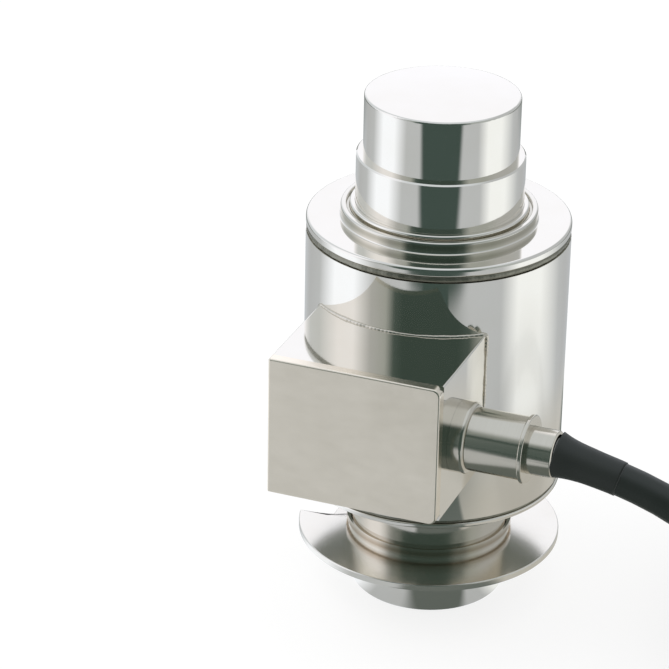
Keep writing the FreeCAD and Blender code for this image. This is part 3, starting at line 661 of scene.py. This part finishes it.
# %% Finishes of the CAD pieces
finishes = {
    column_steel: ["load_column"],
    mirror_steel: ["anti_rotation_disc", "housing_base_plate", "housing_tube", "housing_cover_plate",
                   "upper_diaphragm", "junction_box_shell"],
    sleeve_steel: ["lower_seal_sleeve"],
    satin_steel: ["junction_box_cover", "board_standoffs", "board_screws"],
    nickel_plate: ["gland_body", "gland_lock_nut", "gland_nut", "cable_ferrule"],
    boot_rubber: ["gland_o_ring", "gland_seal", "cable_end_sleeve"],
    jacket: ["cable_inner_end"],
    natural_nylon: ["gland_washer", "wire_feedthrough"],
    sleeving: ["gauge_loom", "bridge_ring_wire"],
    enamel: ["trim_resistors"],
    tinned_metal: ["solder_posts"],
    epoxy: ["terminal_board", "gauge_tab_strips"],
    axial_film: ["axial_strain_gauges"],
    transverse_film: ["transverse_strain_gauges"],
    core_plastics[3]: ["cable_inner_cores", "loom_tails"],
}
for material, names in finishes.items():
    for name in names:
        for slot in nodes[name].material_slots:
            slot.material = material
print("finished nodes", sum(len(names) for names in finishes.values()))

# %% [markdown]
# ## The cable
#
# The cable is five metres of nine millimetre cable with a bare end. It leaves its boot, droops, and runs onto a
# coil: four columns of turns side by side, wound down, up, down and up again, so that its end comes out on top.
# The free stretch's points are listed one by one, as a cable lies. The coil stands just past the picture's
# edge.

# %% Cable route
cable_radius = 4.5 * MM
free_points = np.array([
    [51.34, -48.0, 73.0],
    [78.01, -48.0, 68.78],
    [101.0, -48.3, 53.94],
    [122.0, -48.2, 41.74],
]) * MM
tail_points = np.array([
    [176.9, 46.15, 41.93],
    [162.0, 59.65, 47.43],
    [144.1, 68.15, 47.83],
    [129.0, 70.85, 47.93],
]) * MM

# %% [markdown]
# The turns are worked out. The angle grows evenly, and the radius and the height are looked up for
# each turn. A quadratic spline cuts the corners that its control points make, so these points stand a
# little further out than the cable does.

# %% Turns of the coil
coil_centre = np.array([146.25, 20.25]) * MM
coil_low = 6.05 * MM
coil_high = 38.135 * MM
column_radii = np.array([68.25, 58.95, 49.65, 40.35]) * MM
column_turns = 3.45
crossing_turns = 1 / 6
points_per_turn = 24
first_turn = -0.25


def coil_points():
    """Control points of the turns: an evenly growing angle, with the radius and height looked up for each."""
    marks, radii, heights = [0.0], [column_radii[0]], [coil_high]
    for k, radius in enumerate(column_radii):
        end = coil_low if k % 2 == 0 else coil_high
        marks.append(marks[-1] + column_turns)
        radii.append(radius)
        heights.append(end)
        if k + 1 < len(column_radii):
            marks.append(marks[-1] + crossing_turns)
            radii.append(column_radii[k + 1])
            heights.append(end)
    turns = np.linspace(0, marks[-1], round(marks[-1] * points_per_turn) + 1)
    pull_in = 0.75 + 0.25 * math.cos(2 * math.pi / points_per_turn)
    radius = np.interp(turns, marks, radii) / pull_in
    level = coil_centre + radius[:, None] * circle(2 * math.pi * (turns + first_turn))
    return np.column_stack([level, np.interp(turns, marks, heights)])


cable_points = np.concatenate([free_points, coil_points(), tail_points])
print("control points of the cable", len(cable_points))

# %% [markdown]
# Blender can follow a spline with a round section by itself. That keeps the cable one smooth tube, and the line
# that it really follows is read back from it with its thickness off, to fit the boot.

# %% Cords as curves
steps_per_span = 6
section_detail = 5


def smooth_curve(name, points, radius, material):
    """A round cord along a quadratic NURBS spline that starts and ends on its end points."""
    data = bpy.data.curves.new(name, "CURVE")
    data.dimensions = "3D"
    data.resolution_u = steps_per_span
    data.bevel_depth = radius
    data.bevel_resolution = section_detail
    data.use_fill_caps = True
    spline = data.splines.new("NURBS")
    spline.points.add(len(points) - 1)
    spline.points.foreach_set("co", np.column_stack([points, np.ones(len(points))]).ravel())
    spline.order_u = 3
    spline.use_endpoint_u = True
    data.materials.append(material)
    piece = bpy.data.objects.new(name, data)
    bpy.context.collection.objects.link(piece)
    return piece


def line_of(curve, radius):
    """The points that a spline really follows, read from it with its bevel off."""
    curve.data.bevel_depth = 0.0
    mesh = bpy.data.meshes.new_from_object(curve)
    points = np.empty(len(mesh.vertices) * 3)
    mesh.vertices.foreach_get("co", points)
    bpy.data.meshes.remove(mesh)
    curve.data.bevel_depth = radius
    return points.reshape(-1, 3)


print("steps between control points", steps_per_span)

# %% [markdown]
# One tube stands for three solids of the CAD model: the free cable, the coil and the tail, about five metres in
# all.

# %% The whole cable
cable = smooth_curve("cable_line", cable_points, cable_radius, jacket)
cable_line = line_of(cable, cable_radius)
place(cable, "cable_jacket", "cable", "cable_coil", "cable_tail")

# %% [markdown]
# ## The boot
#
# The boot is a rubber sleeve that keeps the cable from bending sharply at the metal. It bends with
# the cable, so it can't simply be turned. It is a profile of radius against distance, carried along
# the cable's own line.

# %% A skin along a line
def frames_along(line):
    """Across and up directions at each point of a line: up is the world's, straightened to the line."""
    ahead = np.gradient(line, axis=0)
    ahead /= np.linalg.norm(ahead, axis=1, keepdims=True)
    across = np.cross(ahead, [0.0, 0.0, 1.0])
    across /= np.linalg.norm(across, axis=1, keepdims=True)
    return across, np.cross(across, ahead)


def sleeve_along(name, line, profile, material, sides=48):
    """A closed skin round a line: at each (distance, radius) of the profile stands a ring across the line."""
    known = travelled(line)
    at, radius = profile.T
    centre, across, up = [read_off(at, known, values) for values in (line, *frames_along(line))]
    ring = circle(np.linspace(0, 2 * np.pi, sides, endpoint=False))
    out = across[:, None] * ring[:, :1] + up[:, None] * ring[:, 1:]
    grid = centre[:, None] + out * radius[:, None, None]
    return surface(name, grid, material, closed_u=True, closed_v=True)


print("the cable's line has", len(cable_line), "points")

# %% [markdown]
# The profile is thick in the ferrule and tapers by an exponential, as a moulded boot does, with a
# soft lip at its tip. It comes back along the bore, a hundredth of a millimetre off the cable.

# %% Boot along the cable
boot_length = 18.0 * MM
boot_waist = 4.68 * MM
boot_swell = 1.67 * MM
swell_reach = 4.5 * MM
boot_bore = 4.51 * MM
lip = 0.15 * MM

along = np.linspace(0, boot_length - lip, 40)
outer = np.stack([along, boot_waist + boot_swell * np.exp(-along / swell_reach)], 1)
lip_arc = circle(np.linspace(0, np.pi / 2, 7))[:, ::-1]
tip = np.array([boot_length - lip, outer[-1, 1] - lip]) + lip * lip_arc
inner = np.array([[boot_length, boot_bore], [0.0, boot_bore]])
boot = sleeve_along("boot_sleeve", cable_line, np.concatenate([outer, tip, inner]), boot_rubber)
place(boot, "black_rubber", "cable_boot")
print("boot", round(float(outer[0, 1]) / MM, 2), "mm in radius at the metal,", round(float(tip[0, 1]) / MM, 2),
      "mm at its tip")

# %% [markdown]
# ## The cable's bare end
#
# At the cable's far end the jacket is stripped, a shrunk sleeve covers the cut, and four coloured
# cores fan out over the coil, each with a tinned tip. Each core drops onto the coil's top with a
# small hop, and the outer ones spread further.

# %% Where the cores go
core_radius = 0.75 * MM
core_gap = 2.0 * MM
core_straight = 8.0 * MM
core_stagger = 1.0 * MM
fan_places = np.array([13.0, 20.0, 27.0]) * MM
fan_spreads = np.array([4.2, 6.5, 7.6]) * MM
hop = 1.2 * MM
tip_radius = 0.45 * MM
tip_length = 5 * MM
tail_end = tail_points[-1]
ahead = tail_points[-1] - tail_points[-2]
ahead /= np.linalg.norm(ahead)
side = np.cross([0.0, 0.0, 1.0], ahead)
rest_height = coil_high + cable_radius + core_radius + 0.25 * MM
print("the cores lie", round(rest_height / MM, 2), "mm high, and the tail ends at", round(tail_end[2] / MM, 2))

# %% [markdown]
# A core's share is how many places it lies off the middle, from -1.5 to 1.5. Each core is a short
# cord through five points: inside the jacket, straight on, and three steps of the fan.

# %% Cores and their tips
end_pieces = []
for k, plastic in enumerate(core_plastics):
    share = k - 1.5
    start = tail_end + (side * share - ahead) * core_gap
    fan = np.array([tail_end + ahead * (at - n * share * core_stagger) + side * share * spread
                    for n, (at, spread) in enumerate(zip(fan_places, fan_spreads))])
    fan[:, 2] += rest_height - tail_end[2] + np.array([hop, 0, 0])
    core = smooth_curve(f"end_core_{k + 1}", np.array([start, start + ahead * core_straight, *fan]),
                        core_radius, plastic)
    place(core, "core_insulation", "cable_end_wires")
    last = fan[-1]
    way = (last - fan[-2]) / np.linalg.norm(last - fan[-2])
    tip = smooth_curve(f"end_tip_{k + 1}", np.array([last - way * MM, last + way * tip_length / 2,
                                                     last + way * tip_length]), tip_radius, tinned_metal)
    place(tip, "tinned_brass")
    end_pieces += [core, tip]

# %% [markdown]
# ## The coil's ties
#
# Two nylon ties hold the coil. A tie runs round the bundle in a rectangle with round corners. Its
# points are spread evenly by distance, so that teeth and ripples along it come out even.

# %% A loop with round corners
def rounded_loop(low, high, radius, count):
    """Even points round a rectangle with round corners, the outward direction at each, and the distance."""
    corners = np.array([[high[0] - radius, high[1] - radius], [low[0] + radius, high[1] - radius],
                        [low[0] + radius, low[1] + radius], [high[0] - radius, low[1] + radius]])
    out = circle(np.arange(4)[:, None] * np.pi / 2 + np.linspace(0, np.pi / 2, 13))
    loop = (corners[:, None] + out * radius).reshape(-1, 2)
    out = out.reshape(-1, 2)
    closed, out = np.vstack([loop, loop[:1]]), np.vstack([out, out[:1]])
    known = travelled(closed)
    even = np.linspace(0, known[-1], count, endpoint=False)
    out = read_off(even, known, out)
    return read_off(even, known, closed), out / np.linalg.norm(out, axis=1, keepdims=True), even


tie_gap = 0.25 * MM
bundle_inner = column_radii[-1] - cable_radius - tie_gap
bundle_outer = column_radii[0] + cable_radius + tie_gap
bundle_low = coil_low - cable_radius - tie_gap
bundle_high = coil_high + cable_radius + tie_gap
print("the bundle is", round((bundle_outer - bundle_inner) / MM, 1), "mm wide and",
      round((bundle_high - bundle_low) / MM, 1), "mm high")

# %% [markdown]
# The strap is a flat section carried round that loop, with fine teeth on its outside. The teeth are a
# square wave: the sign of a sine of the distance.

# %% Strap of a tie
tie_half_width = 2.3 * MM
tie_thickness = 1.2 * MM
tie_edge = 0.25 * MM
tie_corner = 3 * MM
tooth_pitch = 1.3 * MM
tooth_depth = 0.12 * MM


def tie_strap(name, angle):
    """A strap round the bundle: a section of (rise, side, cut corner) carried round the loop and turned."""
    loop, out, even = rounded_loop((bundle_inner, bundle_low), (bundle_outer, bundle_high), tie_corner, 360)
    section = np.array([
        [0, -1, 0], [0, 1, 0], [tie_edge, 1, 0], [tie_thickness - tie_edge, 1, 0], [tie_thickness, 1, -1],
        [tie_thickness, -1, 1], [tie_thickness - tie_edge, -1, 0], [tie_edge, -1, 0]])
    teeth = tooth_depth * (0.5 + 0.5 * np.sign(np.sin(even * 2 * np.pi / tooth_pitch)))
    on_top = np.where(section[:, 0] > tie_thickness - tie_edge / 2, 1, 0)
    rise = section[:, 0] - on_top * teeth[:, None]
    across = section[:, 1] * tie_half_width + section[:, 2] * tie_edge
    plane = loop[:, None] + out[:, None] * rise[..., None]
    grid = turned_about_z(plane[..., 0], across, plane[..., 1], angle, (*coil_centre, 0.0))
    return surface(name, grid, tie_nylon, closed_u=True, closed_v=True)


print("teeth on a strap every", tooth_pitch / MM, "mm")

# %% [markdown]
# The tail is pulled through a small square head. A block with soft edges is a sphere whose sines and
# cosines are raised to a small power, which pushes its surface out towards the corners of a box.

# %% Head of a tie
head_half = np.array([2.4, 3.6, 3.2]) * MM
head_stand_off = 2.2 * MM
head_height = 24 * MM
block_power = 0.35


def rounded_block(name, centre, half, angle, material):
    """A block with round edges, a superellipsoid: a sphere's cosines and sines raised to a small power."""
    powered = [np.sign(w) * np.abs(w) ** block_power
               for w in (circle(np.linspace(-np.pi / 2, np.pi / 2, 25)),
                         circle(np.linspace(0, 2 * np.pi, 48, endpoint=False)))]
    (level, up), (x, y) = powered[0].T, powered[1].T
    grid = turned_about_z(level[:, None] * x * half[0], level[:, None] * y * half[1],
                          np.repeat(up[:, None], len(x), 1) * half[2], angle, centre)
    return surface(name, grid, material, closed_v=True)


print("head", 2 * head_half / MM, "mm")

# %% [markdown]
# With the ties on, the pieces that go with the cord are gathered. The photograph's steel mirrors no coil, so
# mirrors don't see these pieces here either.

# %% Two ties and the whole cord
tie_angles = (-22.0, 200.0)
ties = []
for k, angle in enumerate(tie_angles):
    strap = place(tie_strap(f"coil_tie_{k + 1}", angle), "tie_nylon", "coil_ties")
    head_centre = (*(coil_centre + (bundle_outer + head_stand_off) * circle(math.radians(angle))), head_height)
    head = rounded_block(f"tie_head_{k + 1}", head_centre, head_half, angle, tie_nylon)
    place(head, "tie_nylon")
    ties += [strap, head]

for piece in [cable, boot, *end_pieces, *ties, nodes["cable_end_sleeve"]]:
    piece.visible_glossy = False
print("pieces on the cord", len(end_pieces) + len(ties) + 1)

# %% [markdown]
# ## Turned plates with broken edges
#
# A lathe hand breaks every edge, and on mirror steel that tiny round draws a bright or dark line that
# the eye reads as the edge. So the plates, the disc and the seal ring are turned again here from
# their own sections, with a round at each corner. A smooth-shaded mesh shares its normals between
# neighbours, so a guard point beside each round keeps the flat faces' normals true, and their
# reflections straight.

# %% Sections and turning
guard = 0.03 * MM


def rounded_section(corners):
    """A closed section of (radius, height, round) corners: each corner becomes an arc between its tangents."""
    points = []
    for k, (radius, height, rounding) in enumerate(corners):
        here = np.array([radius, height])
        ways = [np.array(corners[j][:2]) - here for j in (k - 1, (k + 1) % len(corners))]
        back, on = [way / np.linalg.norm(way) for way in ways]
        half = math.acos(float(np.clip(back @ on, -1, 1))) / 2
        cut = rounding / math.tan(half)
        centre = here + (back + on) / np.linalg.norm(back + on) * rounding / math.sin(half)
        first, last = here + back * cut - centre, here + on * cut - centre
        start = math.atan2(first[1], first[0])
        sweep = (math.atan2(last[1], last[0]) - start + math.pi) % (2 * math.pi) - math.pi
        arc = centre + rounding * circle(start + sweep * np.linspace(0, 1, 8))
        points += [here + back * (cut + guard), *arc, here + on * (cut + guard)]
    return np.array(points)


def turned(name, corners, material, sides=360):
    """A section turned round the Z axis: each row of the grid is the section at one angle."""
    radius, height = rounded_section(corners)[::-1].T
    ring = circle(np.linspace(0, 2 * np.pi, sides, endpoint=False))
    level = ring[:, None] * radius[:, None]
    grid = np.concatenate([level, np.broadcast_to(height[:, None], (*level.shape[:2], 1))], -1)
    return surface(name, grid, material, closed_u=True, closed_v=True)


print("guard points", guard / MM, "mm from each round")

# %% [markdown]
# The cover is one turned plate: a spigot below, which fits in the tube, a groove where the tube ends,
# a rim with a large round, and a raised hub ring round the column. Its wall starts a little higher
# above the groove than it needs to, so that the seam in the groove shows.

# %% Cover plate
housing_radius = 36.5 * MM
groove_floor = housing_radius - 0.75 * MM
groove_width = 1.1 * MM
spigot_outer, spigot_inner = 33.97 * MM, 31.5 * MM
spigot_length = 3.2 * MM
small_round = 0.1 * MM
cover_low, cover_high = 110.3 * MM, 113.4 * MM
cover_groove = cover_low - groove_width
cover_wall_low = 111.0 * MM
cover_bore = 24.25 * MM
hub_outer, hub_inner, hub_high = 27.1 * MM, 25.5 * MM, 116.6 * MM

cover_section = [
    (cover_bore, cover_low, small_round),
    (spigot_inner, cover_low, small_round),
    (spigot_inner, cover_groove - spigot_length, small_round),
    (spigot_outer, cover_groove - spigot_length, small_round),
    (spigot_outer, cover_groove, small_round),
    (groove_floor, cover_groove, small_round),
    (groove_floor, cover_wall_low, small_round),
    (housing_radius, cover_wall_low, 0.5 * MM),
    (housing_radius, cover_high, 0.9 * MM),
    (hub_outer, cover_high, 0.4 * MM),
    (hub_outer, hub_high, 0.7 * MM),
    (hub_inner, hub_high, 0.35 * MM),
    (hub_inner, cover_high, small_round),
    (cover_bore, cover_high, small_round),
]
place(turned("cover_plate_turned", cover_section, hub_steel_painted_shade), "polished_stainless", "housing_cover_plate")

# %% [markdown]
# The base plate is like the cover upside down, without a hub: the same spigot, the same groove and a
# low rim.

# %% Base plate
base_low, base_rim, base_high = 35.0 * MM, 36.4 * MM, 39.6 * MM
base_groove = base_rim + groove_width
base_bore = 22.53 * MM

base_section = [
    (base_bore, base_low, small_round),
    (housing_radius, base_low, 0.45 * MM),
    (housing_radius, base_rim, 0.4 * MM),
    (groove_floor, base_rim, small_round),
    (groove_floor, base_groove, small_round),
    (spigot_outer, base_groove, small_round),
    (spigot_outer, base_groove + spigot_length, small_round),
    (spigot_inner, base_groove + spigot_length, small_round),
    (spigot_inner, base_high, small_round),
    (base_bore, base_high, small_round),
]
place(turned("base_plate_turned", base_section, mirror_steel), "polished_stainless", "housing_base_plate")

# %% [markdown]
# The seal ring is the thin diaphragm that closes the gap between the hub and the column. It has a
# flat web inside the hub, and a lip with a round top that stands against the column.

# %% Seal ring
ring_inner, ring_lip, ring_outer = 23.18 * MM, 24.58 * MM, 25.47 * MM
ring_web, ring_high = 115.7 * MM, 117.5 * MM
tiny_round = 0.05 * MM

ring_section = [
    (ring_inner, cover_high, tiny_round),
    (ring_outer, cover_high, tiny_round),
    (ring_outer, ring_web, tiny_round),
    (ring_lip, ring_web, 0.25 * MM),
    (ring_lip, ring_high, 0.65 * MM),
    (ring_inner, ring_high, tiny_round),
]
place(turned("seal_ring_turned", ring_section, hub_steel_painted_shade), "polished_stainless", "upper_diaphragm")

# %% [markdown]
# The disc isn't round all over, because of its notch, so it can't be turned. Its edge is carried
# along its outline instead, which needs points and the direction outwards at each. One side of the
# notch is a small lip at the mouth, a straight wall and a round corner, and the other side is its
# mirror image.

# %% One side of the notch
disc_radius = 37.2 * MM
disc_bore = 20.63 * MM
notch_floor = -(disc_radius - 10.7 * MM)
notch_half = 8.5 * MM
notch_round = 2.0 * MM
notch_lip = 0.5 * MM
arc_count, turn_count, wall_count = 620, 9, 10
arc_bore_share = 0.83
notch_bore_shares = (0.835, 0.97)


def notch_side(side):
    """One side of the notch, from its mouth to its floor: a lip's arc, a straight wall and a corner's arc."""
    lip_y = notch_half + notch_lip
    lip_x = -math.sqrt((disc_radius - notch_lip) ** 2 - lip_y ** 2)
    mouth_angle = math.atan2(lip_y, -lip_x)
    lip_out = circle(side * np.linspace(math.pi - mouth_angle, 1.5 * math.pi, turn_count))
    lip_arc = np.array([lip_x, side * lip_y]) + lip_out * notch_lip
    wall_x = np.linspace(lip_x, notch_floor - notch_round, wall_count + 2)[1:-1]
    wall = np.stack([wall_x, np.full(wall_count, side * notch_half)], 1)
    wall_out = np.tile([0.0, -side], (wall_count, 1))
    corner_out = circle(np.linspace(0, math.pi / 2, turn_count))[:, ::-1] * [-1, -side]
    corner = np.array([notch_floor - notch_round, side * (notch_half - notch_round)]) - corner_out * notch_round
    bore_turn = side * np.linspace(*notch_bore_shares, 2 * turn_count + wall_count) * np.pi
    points, outs = np.vstack([lip_arc, wall, corner]), np.vstack([lip_out, wall_out, corner_out])
    return mouth_angle, points, outs, bore_turn


print("the notch is", 2 * notch_half / MM, "mm wide and", round((disc_radius + notch_floor) / MM, 1), "mm deep")

# %% [markdown]
# The bore's points go round their circle along with the outline's. Most of them belong to the arc,
# and the rest are spread behind the notch, so that no face folds over it.

# %% Outline of the disc
def disc_outline():
    """Points, outward directions and bore angles: the arc, then down one wall of the notch and up the other."""
    mouth_angle, *down = notch_side(1)
    up = [values[::-1] for values in notch_side(-1)[1:]]
    outs = circle(np.linspace(-math.pi + mouth_angle, math.pi - mouth_angle, arc_count))
    bore_turn = np.linspace(-arc_bore_share, arc_bore_share, arc_count) * np.pi
    return [np.concatenate(run) for run in zip((outs * disc_radius, outs, bore_turn), down, up)]


points, outs, bore_turn = disc_outline()
print("points round the disc", len(points))

# %% [markdown]
# Each row of the disc's grid is a cut from the bore over the top to the edge, down round it, and back
# underneath. The edge is two quarter rounds with a short upright face between them.

# %% Disc with its notch
disc_low, disc_high = 15.5 * MM, 17.5 * MM
disc_edge = 0.35 * MM

quarter = circle(np.linspace(0, np.pi / 2, 8))
cosine, sine = quarter.T
inset = np.concatenate([[disc_edge + guard], disc_edge * (1 - sine), [0.0, 0.0], disc_edge * (1 - cosine),
                        [disc_edge + guard]])
height = np.concatenate([[disc_high], disc_high - disc_edge * (1 - cosine),
                         [disc_high - disc_edge - guard, disc_low + disc_edge + guard],
                         disc_low + disc_edge * (1 - sine), [disc_low]])
bore = circle(bore_turn)[:, None] * disc_bore
near_bore = bore * (1 + guard / disc_bore)
level = np.concatenate([bore, near_bore, points[:, None] - outs[:, None] * inset[:, None], near_bore, bore], 1)
height = np.concatenate([[disc_high] * 2, height, [disc_low] * 2])
grid = np.concatenate([level, np.broadcast_to(height[:, None], (*level.shape[:2], 1))], -1)
disc = surface("disc_turned", grid, disc_steel, closed_u=True, closed_v=True)
place(disc, "polished_stainless", "anti_rotation_disc")

# %% [markdown]
# ## Weld beads
#
# The box is welded to the tube all round. The bead is a tube carried along the line where the box's
# faces meet the round housing, swollen by ripples as the weld pool froze, with some unevenness on
# top.

# %% Bead round the box
box_half_width = 24.0 * MM
box_low, box_high = 53.9 * MM, 93.6 * MM
box_corner = 1.0 * MM
bead_radius = 0.5 * MM
ripple_pitch = 1.1 * MM


def ripples(along, length):
    """How much the bead swells: sharp ripples along it, and slower swellings that close up round the loop."""
    turn = 2 * np.pi * along / length
    count = round(length / ripple_pitch)
    slow = 0.16 * np.sin(5 * turn + 1.0) + 0.12 * np.sin(13 * turn + 2.2) + 0.08 * np.sin(37 * turn)
    return 1 + slow + 0.07 * np.abs(np.sin(count * turn / 2))


loop, _, along = rounded_loop((-box_half_width, box_low), (box_half_width, box_high), box_corner, 1400)
bead_length = float(along[-1] + along[1])
line = np.stack([loop[:, 0], -np.sqrt(housing_radius ** 2 - loop[:, 0] ** 2), loop[:, 1]], 1)
ahead = np.roll(line, -1, 0) - np.roll(line, 1, 0)
ahead /= np.linalg.norm(ahead, axis=1, keepdims=True)
radial = line * [1, 1, 0]
radial /= np.linalg.norm(radial, axis=1, keepdims=True)
side_way = np.cross(ahead, radial)
ring = circle(np.linspace(0, 2 * np.pi, 14, endpoint=False))
swell = bead_radius * ripples(along, bead_length)
grid = line[:, None] + swell[:, None, None] * (radial[:, None] * ring[:, :1] + side_way[:, None] * ring[:, 1:])
box_bead = surface("box_weld_bead", grid, weld_steel, closed_u=True, closed_v=True)
place(box_bead, "satin_stainless")
print("weld bead", round(bead_length, 3), "m long")

# %% [markdown]
# The housing's plates are welded to the tube in two shallow grooves. These seams were not polished, and each is
# an uneven ring that lies deep in its groove, dark with painted shade of the groove.

# %% Seams in the grooves
seam_foot = housing_radius - 0.78 * MM
seam_root = housing_radius - 1.0 * MM
seam_sides = 900


def groove_bead(name, low, high, deep):
    """A low ridge round the housing: a half ellipse on the groove's floor, its height swollen by slow waves."""
    angle = np.linspace(0, 2 * np.pi, seam_sides, endpoint=False)
    across = np.linspace(0, np.pi, 9)
    swell = 1 + 0.12 * np.sin(23 * angle + low) + 0.08 * np.sin(61 * angle) + 0.06 * np.abs(np.sin(104 * angle))
    radius = seam_foot + np.sin(across) * swell[:, None] * deep
    radius = np.concatenate([radius, np.full((seam_sides, 1), seam_root)], 1)
    height = np.concatenate([(low + high) / 2 + np.cos(across) * (high - low) / 2, [(low + high) / 2]])
    level = circle(angle)[:, None] * radius[..., None]
    grid = np.concatenate([level, np.broadcast_to(height[:, None], (*radius.shape, 1))], -1)
    return surface(name, grid, groove_weld_painted_shade, closed_u=True, closed_v=True)


# each seam is coloured with painted shade of its groove
place(groove_bead("cover_seam", 109.21 * MM, 111.1 * MM, 0.62 * MM), "satin_stainless")
place(groove_bead("base_seam", 36.36 * MM, 37.49 * MM, 0.42 * MM), "satin_stainless")
